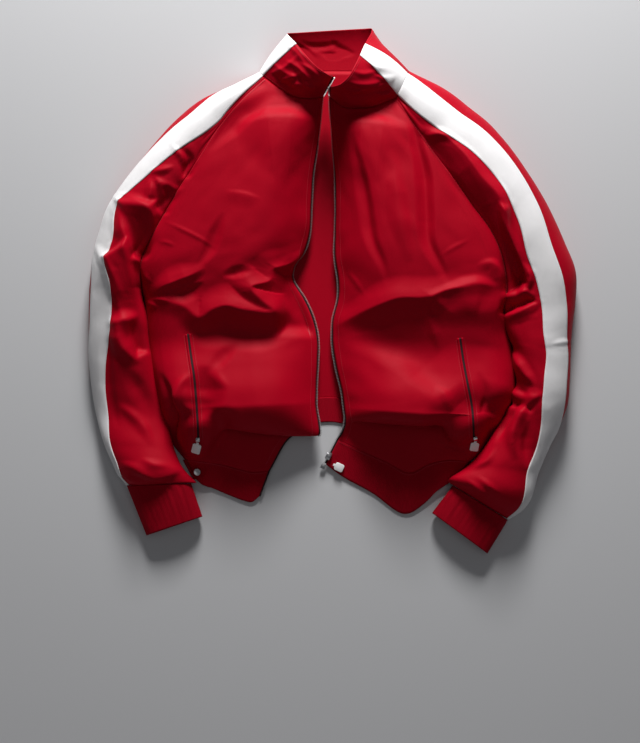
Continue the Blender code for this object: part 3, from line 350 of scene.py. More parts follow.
# The line of the neck on each front: share of the way across, v
NECK_LEFT = ((0, 0.2, 0.45, 0.65, 0.85, 1), (97, 106.5, 108, 107, 102, 98))
NECK_RIGHT = ((0, 0.3, 0.55, 0.8, 1), (97, 98.5, 95, 86.5, 78))
front_l = front_panel(upper_l, lower_l, BLOUSE_LEFT, NECK_LEFT)
front_r = front_panel(upper_r, lower_r, BLOUSE_RIGHT, NECK_RIGHT)
print("fronts have", front_l.shape[:2], "and", front_r.shape[:2], "points")

# %% [markdown]
# A sleeve is a tube, and each row of its grid is one ring: up from the front seam, over the top, round the
# outer edge and back along the floor. The white band takes the same columns in every ring, so it can be cut
# out of the grid later.

# %% Sleeves
SLEEVE_IN, SLEEVE_BAND, SLEEVE_OUT = 30, 16, 48  # cells before, under and after the white band
BAND_WIDTH = 40.0  # mm
WIDEST, TOP = 0.36, 0.45  # height of a ring's widest place, and where its crown begins on the way out
TUCK_IN, TUCK_OUT = 0.07, 0.09  # how far a ring draws in again below its widest place
RISE, FALL = 2.1, 0.9  # how squarely a ring rises to its crown and falls from it
LEAST_BEFORE, LEAST_AFTER = 4.0, 8  # mm of a ring that stay red before and after the white band


def section(fu, fv, fz, ou, ov, crown, bu, bv, tube, bulge):
    """One ring of a sleeve: from the front edge over the top, round the outer edge and back on the floor."""
    side = WIDEST * crown
    line = []
    if fz < side:
        start = math.acos(min(1, max(0, (side - fz) / side))) - math.pi / 2
        for a in np.linspace(start, 0, 12)[:-1]:
            line.append((TUCK_IN * (1 - math.cos(a)), side + side * math.sin(a)))
    base = max(fz, side)
    for x in np.linspace(0, 1, 40) ** 1.5:
        line.append((TOP * x, base + (crown - base) * (1 - (1 - x) ** RISE) ** (1 / (1 + tube))))
    for a in np.linspace(0, math.pi / 2, 40)[1:]:
        line.append((TOP + (1 - TOP) * math.sin(a), side + (crown - side) * math.cos(a) ** FALL))
    for a in np.linspace(0, math.pi / 2, 16)[1:]:
        line.append((1 - TUCK_OUT * (1 - math.cos(a)), side * (1 - math.sin(a))))
    line = np.array(line)
    inner = ease((0.4 - line[:, 0]) / 0.3)
    line[:, 0] -= bulge * np.sin(math.pi * np.clip(line[:, 1] / crown, 0, 1)) * inner
    plan = np.stack([fu + (ou - fu) * line[:, 0], fv + (ov - fv) * line[:, 0], line[:, 1]], axis=1)
    t = np.linspace(0, 1, 24)[1:, None]
    return np.concatenate([plan, plan[-1] + (np.array([bu, bv, 0.0]) - plan[-1]) * t])


def sleeve_panel(upper, arm):
    """A sleeve: rows from the neck to the wrist, columns from the front seam round to the back seam."""
    ring = upper[:, 4:13]
    rings = [(a, b, SEAM_Z, c, d, e, a, b, q) for a, b, c, d, e, q in arm]
    table = np.array([ring[-9], ring[-1]] + rings)
    knots = along((table[:, :2] + table[:, 3:5]) / 2)
    lower = spline(knots, table, np.linspace(knots[1], knots[-1], ARM_ROWS + 1))
    lower[:, 2] = SEAM_Z + EDGE
    rows = np.concatenate([ring, lower[1:]])
    grid = np.empty((len(rows), SLEEVE_IN + SLEEVE_BAND + SLEEVE_OUT + 1, 3))
    for i, (fu, fv, fz, ou, ov, crown, bu, bv, q) in enumerate(rows):
        tube = ease((i / RAGLAN_ROWS - 0.45) / 0.5)  # flat at the shoulder, a round tube at the underarm
        lean_in = 0.1 * ease((i / RAGLAN_ROWS - 1) / 0.06)  # below the underarm it leans against the body
        line = section(fu, fv, fz, ou, ov, max(crown, fz + 0.5), bu, bv, tube, lean_in)
        points = all_at(line)
        run = along(points)
        out = (line[:, 0] - fu) * (ou - fu) + (line[:, 1] - fv) * (ov - fv)
        out = out / ((ou - fu) ** 2 + (ov - fv) ** 2)
        first = int(np.argmax(out >= q))
        band = 0.0
        if first:
            part = (q - out[first - 1]) / max(out[first] - out[first - 1], 1e-6)
            band = run[first - 1] + part * (run[first] - run[first - 1])
        band = max(band, LEAST_BEFORE)
        stop = min(band + BAND_WIDTH, run[-1] - LEAST_AFTER)
        places = np.concatenate(
            [
                np.linspace(0, band, SLEEVE_IN + 1),
                np.linspace(band, stop, SLEEVE_BAND + 1)[1:],
                np.linspace(stop, run[-1], SLEEVE_OUT + 1)[1:],
            ]
        )
        grid[i] = read_at(places, run, points)
    return grid


sleeve_l, sleeve_r = sleeve_panel(upper_l, ARM_LEFT), sleeve_panel(upper_r, ARM_RIGHT)
print("sleeves have", sleeve_l.shape[:2], "and", sleeve_r.shape[:2], "points")

# %% [markdown]
# At the underarm two tables meet, and a curve through each of them leaves a slight kink there. It is rubbed
# out down the columns, as a thumb would smooth it.

# %% Smooth underarms


def without_kink(grid, passes=40, reach=16):
    """Averages down the columns beside the underarm row."""
    rows, cols = np.arange(len(grid))[:, None, None], np.arange(grid.shape[1])[None, :, None]
    share = ease(1 - np.abs(rows - RAGLAN_ROWS) / reach) * ease(cols / 3)
    share = share * ease((grid.shape[1] - 1 - cols) / 3)
    for _ in range(passes):
        grid[1:-1] += share[1:-1] * (0.25 * (grid[:-2] + grid[2:]) - 0.5 * grid[1:-1])
    return grid


front_l, front_r, sleeve_l, sleeve_r = (without_kink(a) for a in (front_l, front_r, sleeve_l, sleeve_r))
print("cells of a front are", np.linalg.norm(front_l[80, 51] - front_l[80, 50]).round(1), "mm wide")

# %% [markdown]
# ## Folds
# A fold is a line with a height. Thin tight cloth doesn't make round waves: it breaks in a crease that is
# steep on one side and slopes away gently on the other. So every fold has its own reach to the left and to
# the right of its line, and a sharpness from 0, a soft billow, to 1, a pressed crease.

# %% The fold tool
FOLD_END = 0.38  # share of its length over which a fold dies away at each end
CREASE_SHAPE = 1.7  # over 1, so a pressed crease has hollow slopes


def fold_height(u, v, folds):
    """What folds add to the height at squares u, v."""
    total = np.zeros(np.broadcast(u, v).shape)
    for height, left, right, sharp, line in folds:
        nodes = np.array(line, float)
        if len(nodes) > 2:
            nodes = spline(along(nodes), nodes, np.linspace(0, along(nodes)[-1], 6 * len(nodes)))
        run = along(nodes)
        far = max(left, right)
        low, high = nodes.min(axis=0) - far, nodes.max(axis=0) + far
        near = (u > low[0]) & (u < high[0]) & (v > low[1]) & (v < high[1])
        if not near.any():
            continue
        uu, vv = u[near], v[near]
        best, side, place = np.full(uu.shape, 1e9), np.zeros(uu.shape), np.zeros(uu.shape)
        for k in range(len(nodes) - 1):
            a, d = nodes[k], nodes[k + 1] - nodes[k]
            t = np.clip(((uu - a[0]) * d[0] + (vv - a[1]) * d[1]) / (d @ d), 0, 1)
            pu, pv = uu - a[0] - t * d[0], vv - a[1] - t * d[1]
            gap = np.hypot(pu, pv)
            nearer = gap < best
            best = np.where(nearer, gap, best)
            side = np.where(nearer, d[0] * pv - d[1] * pu, side)
            place = np.where(nearer, (run[k] + t * (run[k + 1] - run[k])) / run[-1], place)
        # v runs down, so a positive side is the right one, looking along the line
        ends = np.minimum(1, np.minimum(place, 1 - place) / FOLD_END)
        reach = np.where(side > 0, right, left) * (0.5 + 0.5 * ends)
        t = np.clip(best / reach, 0, 1)
        profile = (1 - sharp) * (1 - ease(t)) + sharp * (1 - t) ** CREASE_SHAPE
        total[near] += height * (0.7 * ends + 0.3 * ease(ends)) * profile
    return total


# %% [markdown]
# The large folds come first. Light falls from the collar, so a crest shows as a bright short slope above a
# long dark one, and the table is read from the collar downwards.

# %% Table of folds
# height in mm (below 0 for a valley), reach left and reach right in squares, sharpness, points of the line
FOLDS = {
    "front": (
        # right front: the shoulder and the chest
        (-4, 12, 14, 0.0, ((276, 92), (252, 110), (226, 132), (206, 152))),
        (1.2, 4, 16, 0.4, ((224, 191), (232, 192), (244, 194), (262, 199))),
        (1.3, 3, 4, 1.0, ((162, 220), (182, 229), (200, 238), (218, 249))),
        (-3.5, 9, 9, 0.0, ((224, 212), (216, 232), (208, 252), (196, 268))),
        (0.8, 3, 4, 1.0, ((158, 241), (166, 242), (176, 246))),
        (-3, 9, 7, 0.2, ((222, 276), (236, 273), (252, 270))),
        # right front: it breaks over the waist along a zigzag, dips under it and rises again to the blouse
        (7, 16, 11, 0.7, ((152, 296), (162, 287), (175, 281), (190, 275), (206, 267))),
        (-4, 6, 12, 0.2, ((168, 297), (184, 293), (204, 283))),
        (13, 24, 24, 0.75, ((318, 246), (302, 254), (286, 262), (271, 268), (268, 280), (250, 287),
            (260, 300), (272, 311), (244, 309), (226, 305), (213, 309), (200, 317), (186, 307),
            (166, 301), (146, 300))),
        (-6, 30, 20, 0.0, ((176, 326), (204, 334), (230, 331), (256, 334), (284, 330), (310, 326))),
        (-2, 18, 12, 0.0, ((276, 286), (290, 298), (302, 312), (308, 326))),
        (2.4, 5, 5, 1.0, ((138, 264), (143, 274), (151, 283))),
        (2.4, 4, 5, 1.0, ((142, 299), (150, 303), (160, 308))),
        (2.0, 4, 5, 1.0, ((152, 299), (162, 299), (172, 302))),
        (-2.6, 9, 10, 0.0, ((238, 344), (222, 358), (208, 372))),
        (1.4, 8, 8, 0.4, ((206, 372), (216, 378), (230, 388))),
        (-13, 24, 26, 0.0, ((206, 366), (204, 392), (204, 424))),
        (-9, 8, 9, 0.2, ((160, 372), (167, 392), (169, 414), (172, 436), (178, 450))),
        (5, 7, 8, 0.4, ((196, 372), (180, 384), (174, 402), (176, 428), (184, 450))),
        (-14, 26, 23, 0.0, ((140, 414), (168, 418), (194, 420), (240, 420))),
        (8, 16, 62, 0.0, ((236, 126), (276, 120), (322, 122))),
        # left front: upright valleys on the chest
        (8, 16, 62, 0.0, ((330, 124), (370, 126), (414, 132))),
        (-8, 9, 13, 0.2, ((411, 112), (417, 140), (425, 175), (427, 210), (429, 240), (442, 268),
            (450, 284))),
        (-5, 9, 10, 0.1, ((352, 132), (360, 170), (366, 205), (372, 240), (384, 268), (388, 284))),
        (4, 14, 14, 0.1, ((392, 150), (396, 190), (402, 230), (410, 262))),
        (1.0, 3, 5, 0.8, ((440, 256), (452, 248), (470, 239))),
        (0.9, 4, 5, 0.8, ((346, 270), (356, 282), (366, 297))),
        # left front: a ridge slants over the waist; the dark slope below it ends in a valley
        (10, 22, 24, 0.7, ((330, 330), (352, 318), (376, 306), (398, 297), (424, 296), (452, 288),
            (478, 286))),
        (2.5, 7, 8, 0.9, ((424, 301), (436, 293), (450, 288), (462, 286))),
        (-7, 34, 28, 0.0, ((342, 336), (374, 339), (408, 350), (440, 380), (462, 408))),
        (3, 9, 9, 0.5, ((424, 302), (432, 326), (440, 352))),
        (4, 7, 14, 0.4, ((476, 266), (492, 263), (503, 276), (502, 296))),
        (7, 10, 34, 0.5, ((440, 291), (456, 287), (478, 283), (498, 288))),
        (2, 8, 9, 0.4, ((436, 384), (446, 396), (452, 412))),
        (-3, 8, 8, 0.1, ((478, 372), (488, 396), (490, 424))),
        (-15, 40, 23, 0.0, ((424, 420), (456, 420), (488, 417), (530, 412))),
    ),
    "sleeve": (
        # right sleeve: dimples beside the shoulder, then the folds of the bent arm
        (-6, 7, 8, 0.2, ((182, 148), (189, 160), (186, 178))),
        (-6, 8, 8, 0.2, ((160, 182), (170, 194), (164, 210))),
        (3, 6, 6, 0.8, ((150, 172), (162, 170), (174, 166))),
        (4, 7, 8, 0.7, ((150, 178), (151, 190), (146, 204))),
        (5, 9, 16, 0.7, ((112, 196), (122, 196), (134, 199), (144, 204), (152, 214), (153, 226),
            (149, 240), (142, 256))),
        (6, 9, 15, 0.7, ((114, 200), (119, 212), (123, 228), (129, 243), (136, 258), (143, 274))),
        (6, 12, 9, 0.7, ((96, 244), (102, 257), (108, 272), (114, 290), (119, 306), (124, 322))),
        (9, 12, 19, 0.8, ((108, 324), (118, 321), (128, 319), (140, 315))),
        (9, 9, 15, 0.7, ((114, 316), (117, 326), (120, 339), (127, 352), (140, 363))),
        (-3, 12, 14, 0.0, ((122, 366), (134, 382), (146, 400), (156, 424))),
        (-4, 9, 10, 0.0, ((108, 310), (107, 346), (110, 392), (118, 430))),
        (4, 8, 10, 0.6, ((118, 404), (132, 414), (146, 430), (152, 446))),
        (6, 22, 9, 0.4, ((108, 466), (124, 475), (144, 479), (164, 476), (184, 468))),
        (3, 5, 6, 0.8, ((120, 462), (134, 466), (148, 474), (160, 478))),
        (2.6, 5, 5, 0.8, ((140, 458), (154, 464), (170, 466))),
        (-3, 6, 6, 0.3, ((128, 474), (142, 478), (158, 482))),
        # left sleeve: a crest down to the elbow with a dark slope to the seam
        (10, 12, 26, 0.6, ((418, 128), (440, 134), (462, 152), (482, 178), (498, 196), (508, 226),
            (520, 262))),
        (4, 6, 7, 0.8, ((424, 136), (440, 134), (456, 140))),
        (5, 7, 8, 0.7, ((498, 206), (509, 232), (520, 258), (526, 282))),
        (5, 6, 7, 0.8, ((524, 262), (530, 278), (527, 292))),
        (-7, 10, 11, 0.2, ((512, 268), (514, 282), (516, 292), (515, 302))),
        (3, 4, 6, 0.9, ((500, 298), (512, 292), (524, 290), (536, 296))),
        (5, 5, 12, 0.8, ((496, 314), (512, 314), (526, 308), (540, 298))),
        (9, 8, 16, 0.8, ((510, 346), (520, 364), (530, 380), (540, 396))),
        (-4, 6, 8, 0.2, ((514, 386), (522, 392), (530, 396))),
        (9, 8, 10, 0.7, ((540, 396), (528, 404), (519, 418), (512, 440), (516, 460))),
        (-6, 7, 8, 0.1, ((528, 420), (526, 446), (528, 468))),
        (-7, 7, 7, 0.1, ((518, 400), (506, 420), (496, 444))),
        (4, 5, 6, 0.9, ((496, 446), (488, 460), (470, 470))),
        (3, 4, 5, 0.8, ((466, 478), (478, 488), (492, 500))),
        (3, 4, 5, 0.8, ((478, 476), (490, 486), (500, 494))),
        (0.7, 5, 5, 0.9, ((552, 344), (562, 342), (572, 341))),
    ),
}
print(sum(len(folds) for folds in FOLDS.values()), "folds drawn by hand")

# %% [markdown]
# Between its creases tight cloth is nearly flat. A facet is such an area: four corners, a height along its
# upper edge and another along its lower edge. Tilted away from the lamp it becomes one of the dark wedges
# that are so typical of wind cloth.

# %% Facets
# height at the upper edge and at the lower edge, softness, corners clockwise from the upper left
FACETS = {
    "sleeve": (
        (8, -13, 5, ((119, 201), (154, 203), (147, 258), (133, 255))),
        (13, -12, 4, ((106, 257), (126, 241), (147, 350), (138, 354))),
        (5, -7, 4, ((157, 180), (177, 189), (166, 215), (158, 208))),
        (4, -6, 4, ((176, 150), (190, 158), (192, 180), (184, 176))),
        (8, -13, 4, ((501, 206), (507, 208), (524, 282), (508, 290))),
        (7, -12, 4, ((504, 297), (524, 291), (533, 301), (505, 312))),
        (5, -7, 4, ((514, 392), (538, 396), (530, 410), (508, 404))),
        (5, -6, 6, ((500, 316), (512, 318), (536, 388), (514, 386))),
    ),
    "front": (
        (5, -10, 8, ((274, 266), (300, 257), (318, 332), (284, 330))),
        (7, -6, 13, ((436, 300), (504, 300), (500, 412), (460, 404))),
    ),
}


def facet_height(u, v, facets):
    """What facets add to the height at squares u, v."""
    total = np.zeros(np.broadcast(u, v).shape)
    for high, low, soft, corners in facets:
        corners = np.array(corners, float)
        away = []
        for a, b in zip(corners, np.roll(corners, -1, axis=0)):
            way = (b - a) / np.hypot(*(b - a))
            away.append(way[0] * (v - a[1]) - way[1] * (u - a[0]))
        share = np.clip(away[0] / np.maximum(away[0] + away[2], 1e-6), 0, 1)
        total += ease(0.5 + np.min(away, axis=0) / (2 * soft)) * (high + (low - high) * share)
    return total


print(sum(len(facets) for facets in FACETS.values()), "facets")

# %% [markdown]
# A seam joins two pieces, so both must take the same fold there: the front and the sleeve meet halfway.

# %% Lay the folds on the panels


def rise_of(grid, piece):
    """How far the folds and facets of a piece lift each point."""
    u, v = squares(grid)
    return fold_height(u, v, FOLDS[piece]) + facet_height(u, v, FACETS[piece])


def edge_weight(count, start, stop):
    """0 on a border column and 1 away from it: a seam holds the cloth, so folds calm down beside it."""
    k = np.arange(count)
    return ease(k / start) * ease((count - 1 - k) / stop)


def clear_of_back(panel):
    """Keeps a front from sinking below its side seam."""
    panel[..., 2] = np.maximum(panel[..., 2], SEAM_Z + EDGE)


joined = RAGLAN_ROWS + 1  # rows of a front that are joined to its sleeve
lean_fl, lean_fr = -calmed(normals_of(front_l), 6), calmed(normals_of(front_r), 6)
lean_sl, lean_sr = -calmed(normals_of(sleeve_l), 6), calmed(normals_of(sleeve_r), 6)
for panel, arm in ((lean_fl, lean_sl), (lean_fr, lean_sr)):
    both = unit(panel[:joined, -1] + arm[:joined, 0])
    panel[:joined, -1], arm[:joined, 0] = both, both
lean_fl, lean_fr, lean_sl, lean_sr = (unit(a) for a in (lean_fl, lean_fr, lean_sl, lean_sr))


def folded_pair(front, sleeve, lean_front, lean_sleeve):
    """A front and its sleeve with their folds, moved out along their calm normals."""
    rise_f, rise_s = rise_of(front, "front"), rise_of(sleeve, "sleeve")
    top = ease((sleeve[..., 2] / 20 - 0.4) / 0.6)  # no folds where the sleeve turns under
    seam = (rise_f[:joined, -1] + rise_s[:joined, 0]) / 2
    seam = seam * ease((joined - 1 - np.arange(joined)) / 14) * ease((front[:joined, -1, 2] - 6) / 14)
    seam = seam[:, None]
    near_f = ease(np.arange(front.shape[1])[::-1] / 6)[None, :]
    near_s = ease(np.arange(sleeve.shape[1]) / 6)[None, :]
    rise_f, rise_s = rise_f * edge_weight(front.shape[1], 4, 6), rise_s * near_s * top
    rise_f[:joined] += seam * (1 - near_f)
    rise_s[:joined] += seam * (1 - near_s)
    return front + rise_f[..., None] * lean_front, sleeve + rise_s[..., None] * lean_sleeve


front_l, sleeve_l = folded_pair(front_l, sleeve_l, lean_fl, lean_sl)
front_r, sleeve_r = folded_pair(front_r, sleeve_r, lean_fr, lean_sr)
clear_of_back(front_l)
clear_of_back(front_r)
print("left front stands", front_l[..., 2].max().round(1), "mm high")

# %% [markdown]
# ## Let the cloth settle
# The drawn folds are too clean. A real panel has a little more cloth than the shape below it needs, and the
# surplus buckles into small wrinkles that run out at the seams. So the panels settle here: each point is
# tied to its neighbours by threads that are a few thousandths to a hundredth too long, and all points move a
# little at a time until the threads are nearly at rest. Links over several cells stand for the stiffness that
# keeps wrinkles from becoming too fine.

# %% Settle
PASSES, STEP, HOME = 160, 0.3, 0.004  # rounds, share of each round's pull, and pull back to the drawn shape
UNEVEN, CALM = 1.1, 40  # how unevenly the cloth lies at the start, and how gently that changes


def settle(grid, lean, free, slack, seed):
    """The panel after its surplus cloth has buckled. slack is the surplus along rows and down columns."""
    chance = np.random.default_rng(seed)
    start = calmed(chance.normal(0, 1, grid.shape[:2])[..., None], CALM)[..., 0]
    p = (grid + (UNEVEN * free * start / start.std())[..., None] * lean * 0.5).astype(np.float32)
    goal = grid.astype(np.float32)
    links = []
    across, down = slack
    mean = (across + down) / 2
    for dr, dc, hold, more in (
        (0, 1, 1.0, across),
        (1, 0, 1.0, down),
        (1, 1, 0.5, mean),
        (1, -1, 0.5, mean),
        (0, 4, 0.7, 0.8 * across),
        (4, 0, 0.7, 0.8 * down),
        (0, 9, 0.5, 0.5 * across),
        (9, 0, 0.5, 0.5 * down),
    ):
        rows, cols = grid.shape[:2]
        a = (slice(0, rows - dr), slice(max(0, -dc), cols - max(0, dc)))
        b = (slice(dr, rows), slice(max(0, dc), cols + min(0, dc)))
        links.append((a, b, np.linalg.norm(goal[b] - goal[a], axis=-1) * (1 + more), 0.5 * hold))
    pull = (free * STEP)[..., None].astype(np.float32)
    for _ in range(PASSES):
        push = HOME * (goal - p)
        for a, b, rest, hold in links:
            d = p[b] - p[a]
            size = np.sqrt(np.einsum("ijk,ijk->ij", d, d)) + 1e-6
            d *= (hold * (1 - rest / size))[..., None]
            push[a] += d
            push[b] -= d
        p += pull * push
    return p.astype(float)


def freedom(grid, borders):
    """1 where the cloth may move, 0 at the borders that a seam or a zip holds, and little near the floor."""
    rows, cols = grid.shape[:2]
    r, c = np.arange(rows)[:, None], np.arange(cols)[None, :]
    top, bottom, first, last = borders
    return (
        ease(r / top) * ease((rows - 1 - r) / bottom) * ease(c / first) * ease((cols - 1 - c) / last)
        * ease((grid[..., 2] - 6) / 18)
    )


# panel, its normals, rows and columns held at the neck, hem, first and last side, surplus across and down
SLACK = (
    (front_l, lean_fl, (6, 8, 5, 5), (0.002, 0.003)),
    (front_r, lean_fr, (6, 8, 5, 5), (0.002, 0.003)),
    (sleeve_l, lean_sl, (5, 4, 4, 2), (0.005, 0.013)),
    (sleeve_r, lean_sr, (5, 4, 4, 2), (0.005, 0.013)),
)
front_l, front_r, sleeve_l, sleeve_r = (
    settle(grid, lean, freedom(grid, borders), slack, 5 + k)
    for k, (grid, lean, borders, slack) in enumerate(SLACK)
)
clear_of_back(front_l)
clear_of_back(front_r)
print("settled; left front now stands", front_l[..., 2].max().round(1), "mm high")

# %% [markdown]
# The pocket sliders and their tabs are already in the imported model, so the cloth has to come up to them. The
# front is raised smoothly until it touches each slider at both ends and the tab at its tip.

# %% Bring the cloth up to the sliders
SLIDER_REACH = 20.0  # mm round a fitting over which the cloth comes up with it


def corners_of(node_name):
    """The corners of a packed fitting, in mm."""
    return np.array([v.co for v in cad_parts[node_name].data.vertices]) * 1000


def low_end(node_name, upper):
    """The lowest corner of a packed fitting at its upper or lower end."""
    corners = corners_of(node_name)
    y = corners[:, 1]
    near = corners[np.abs(y - (y.max() if upper else y.min())) < 1.0]
    return np.array([corners[:, 0].mean(), near[:, 1].mean(), near[:, 2].min() - 0.3])


def brought_up(panel, side):
    """The panel raised to three spots: both ends of the slider and the tip of its tab."""
    ends = (("slider_", True), ("slider_", False), ("tab_", False))
    spots = np.array([low_end(kind + side, upper) for kind, upper in ends])
    border = edge_weight(panel.shape[1], 6, 6)
    spread = 2 * SLIDER_REACH**2
    each = np.exp(-((spots[:, None, :2] - spots[None, :, :2]) ** 2).sum(-1) / spread) + 0.02 * np.eye(3)
    for _ in range(4):
        far = ((panel[:, :, None, :2] - spots[:, :2]) ** 2).sum(-1)
        miss = spots[:, 2] - panel[..., 2].reshape(-1)[far.reshape(-1, 3).argmin(axis=0)]
        panel[..., 2] += (np.exp(-far / spread) @ np.linalg.solve(each, miss)) * border
        print(side, "pocket slider and tab were off the cloth by", miss.round(1), "mm")
    return panel


front_l, front_r = brought_up(front_l, "left"), brought_up(front_r, "right")

# %% [markdown]
# A fitting may still dip into the cloth at one of its corners. There the cloth is pressed down, deepest
# below the fitting and fading out around it.

# %% Press the cloth down under the fittings
PRESS_CLEAR, PRESS_REACH, PRESS_PITCH = 0.5, 6.0, 1.5  # mm below a fitting, around it, between its spots


def tree_of(*objects):
    """The faces of objects, in mm, made ready for rays."""
    points, faces = [], []
    for obj in objects:
        n = len(points)
        points += [v.co * 1000 for v in obj.data.vertices]
        faces += [[n + i for i in p.vertices] for p in obj.data.polygons]
    return BVHTree.FromPolygons(points, faces)


def underside(node_name):
    """Points spread over the underside of a packed fitting, in mm."""
    corners, tree = corners_of(node_name), tree_of(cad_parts[node_name])
    points = []
    for x in np.arange(corners[:, 0].min() + 0.2, corners[:, 0].max(), PRESS_PITCH):
        for y in np.arange(corners[:, 1].min() + 0.2, corners[:, 1].max(), PRESS_PITCH):
            hit = tree.ray_cast(Vector((x, y, -10)), Vector((0, 0, 1)))[0]
            if hit is not None:
                points.append(hit)
    return np.array(points)


def pressed(grid, names, held_rows=0):
    """Lowers a grid wherever it reaches above the underside of a fitting. The first held_rows stay."""
    spots = np.concatenate([underside(name) for name in names])
    share = ease(np.arange(len(grid)) / held_rows)[:, None] if held_rows else 1
    for _ in range(3):
        far = ((grid[:, :, None, :2] - spots[:, :2]) ** 2).sum(-1)
        near = far.reshape(-1, len(spots)).argmin(axis=0)
        high = (grid[..., 2].reshape(-1)[near] + PRESS_CLEAR - spots[:, 2]).clip(0)
        grid[..., 2] -= (high * np.exp(-far / (2 * PRESS_REACH**2))).max(axis=-1) * share
        print(names[0], "and the rest dipped into the cloth by up to", high.max().round(1), "mm")


pressed(front_l, ("tab_left", "slider_left"))
pressed(front_r, ("tab_right", "slider_right"))

# %% [markdown]
# ## Back, hem band and collar
# The back lies flat on the floor. Where the fronts are open its inner side shows. The hem band is one strip
# of rib sewn round the bottom, and the collar stands on the neck seam and leans open.

# %% Back and hem band
BACK_CELLS = 90
SIDE_TURN = 3.0  # mm, how far the band bulges where it turns round the side


def back_panel():
    """The back, flat on the floor between the side seams, from the neck to its own hem line."""
    share = np.linspace(0, 1, BACK_CELLS + 1)
    left = np.concatenate([sleeve_l[:joined, -1], front_l[joined:, -1]])
    right = np.concatenate([sleeve_r[:joined, -1], front_r[joined:, -1]])
    table = np.array(BACK_HEM)
    hem = spline(table[:, 0], table[:, 1:3], share)
    hem = at(hem[:, 0], hem[:, 1], np.zeros(len(share)))
    flat = right[:, None] + (left - right)[:, None] * share[None, :, None]
    run = along((left + right) / 2 * (0, 1, 0))
    fade = (run / run[-1] * 1.9 - 0.9).clip(0)[:, None, None] ** 1.3  # the hem line is gone halfway up
    grid = flat + (hem - flat[-1])[None] * fade
    grid[..., 2] = 0
    return grid[::2]


def hem_strip():
    """The band from zip end to zip end: left front, back, right front."""

    def lines(blouse, panel):
        table = np.array(blouse, float)
        return list(panel[-1].copy()), list(all_at(spline(table[:, 0], table[:, 13:16], ACROSS)))

    (top_l, low_l), (top_r, low_r) = lines(BLOUSE_LEFT, front_l), lines(BLOUSE_RIGHT, front_r)
    table = np.array(BACK_HEM)
    low_b = spline(table[:, 0], table[:, 3:5], np.linspace(0, 1, BACK_CELLS + 1))
    low_b = at(low_b[:, 0], low_b[:, 1], np.zeros(len(low_b)))
    top_b = back[-1].copy()

    def turn(top, low, upper_top, upper_low, out):
        """The band goes round the side in a small half circle from the upper layer to the lower one."""
        tops, lows = [], []
        for a in np.linspace(0, math.pi, 9)[1:-1]:
            f = (1 - math.cos(a)) / 2
            push = np.array([out * SIDE_TURN * math.sin(a), -1.0 * math.sin(a), 0])
            tops.append(upper_top + (top - upper_top) * f + push)
            lows.append(upper_low + (low - upper_low) * f + push)
        return tops, lows

    a = turn(top_b[-1], low_b[-1], top_l[-1], low_l[-1], 1)
    b = turn(top_b[0], low_b[0], top_r[-1], low_r[-1], -1)
    tops = np.array(top_l + a[0] + list(top_b[::-1]) + b[0][::-1] + top_r[::-1])
    lows = np.array(low_l + a[1] + list(low_b[::-1]) + b[1][::-1] + low_r[::-1])
    share = np.linspace(0, 1, 19)[:, None, None]
    return tops[None] + (lows - tops)[None] * share


back = back_panel()
hem = hem_strip()
pressed(hem[:, -front_r.shape[1] :], ("hem_snap", "tab_right"), 3)
pressed(hem[:, : front_l.shape[1]], ("tab_main", "tab_left"), 3)
print("back", back.shape[:2], "hem band", hem.shape[:2], "length", round(along(hem[0])[-1]), "mm")

# %% [markdown]
# ## The collar
# The collar grows from the neck seam, which runs over five pieces, to a top edge that is given by a table of
# its own.

# %% Collar
# Place along the neck seam (0 to 1 left front, 1 to 2 left sleeve, 2 to 3 back, 3 to 4 right sleeve, 4 to 5
# right front), u, v, z of the top edge there, and how far the collar bows out
COLLAR = (
    (0.00, 331, 87.5, 84, 0),
    (0.25, 341, 84, 87, 3),
    (0.50, 349, 76, 87, 5),
    (0.75, 354, 67, 83, 6),
    (1.00, 359, 57, 73, 6),
    (1.30, 362.5, 49, 62, 5),
    (1.60, 367, 40, 46, 4),
    (1.85, 371.5, 32, 26, 1),
    (2.00, 371.5, 28.5, 12, 0),
    (2.15, 362, 28.8, 9, 0),
    (2.35, 347, 29.6, 9, 0),
    (2.50, 331, 30.5, 9, 0),
    (2.65, 315, 31.5, 9, 0),
    (2.85, 298, 32.6, 9, 0),
    (3.00, 289.5, 33, 12, 0),
    (3.20, 287.5, 33.5, 26, 1),
    (3.50, 289, 36, 42, 3),
    (3.75, 293, 40, 53, 2),
    (4.00, 298, 45.5, 60, 2),
    (4.30, 306, 55, 67, 4),
    (4.60, 315, 65, 73, 5),
    (4.80, 323, 71.5, 76, 3),
    (5.00, 332, 77, 78, 0),
)
COLLAR_ROWS, COLLAR_COLUMNS = 44, 260
neck_parts = (front_l[0], sleeve_l[0], back[0][::-1], sleeve_r[0][::-1], front_r[0][::-1])
neck_line = np.concatenate([part[:-1] for part in neck_parts] + [neck_parts[-1][-1:]])
neck_place = [k + along(part)[:-1] / along(part)[-1] for k, part in enumerate(neck_parts)]
neck_place = np.concatenate(neck_place + [[5.0]])
neck_run = along(neck_line)
print("neck seam is", round(neck_run[-1]), "mm long")

# %% [markdown]
# The collar is two layers that were stitched and washed, so it is full of short creases. They go in the same
# kind of table as the folds.

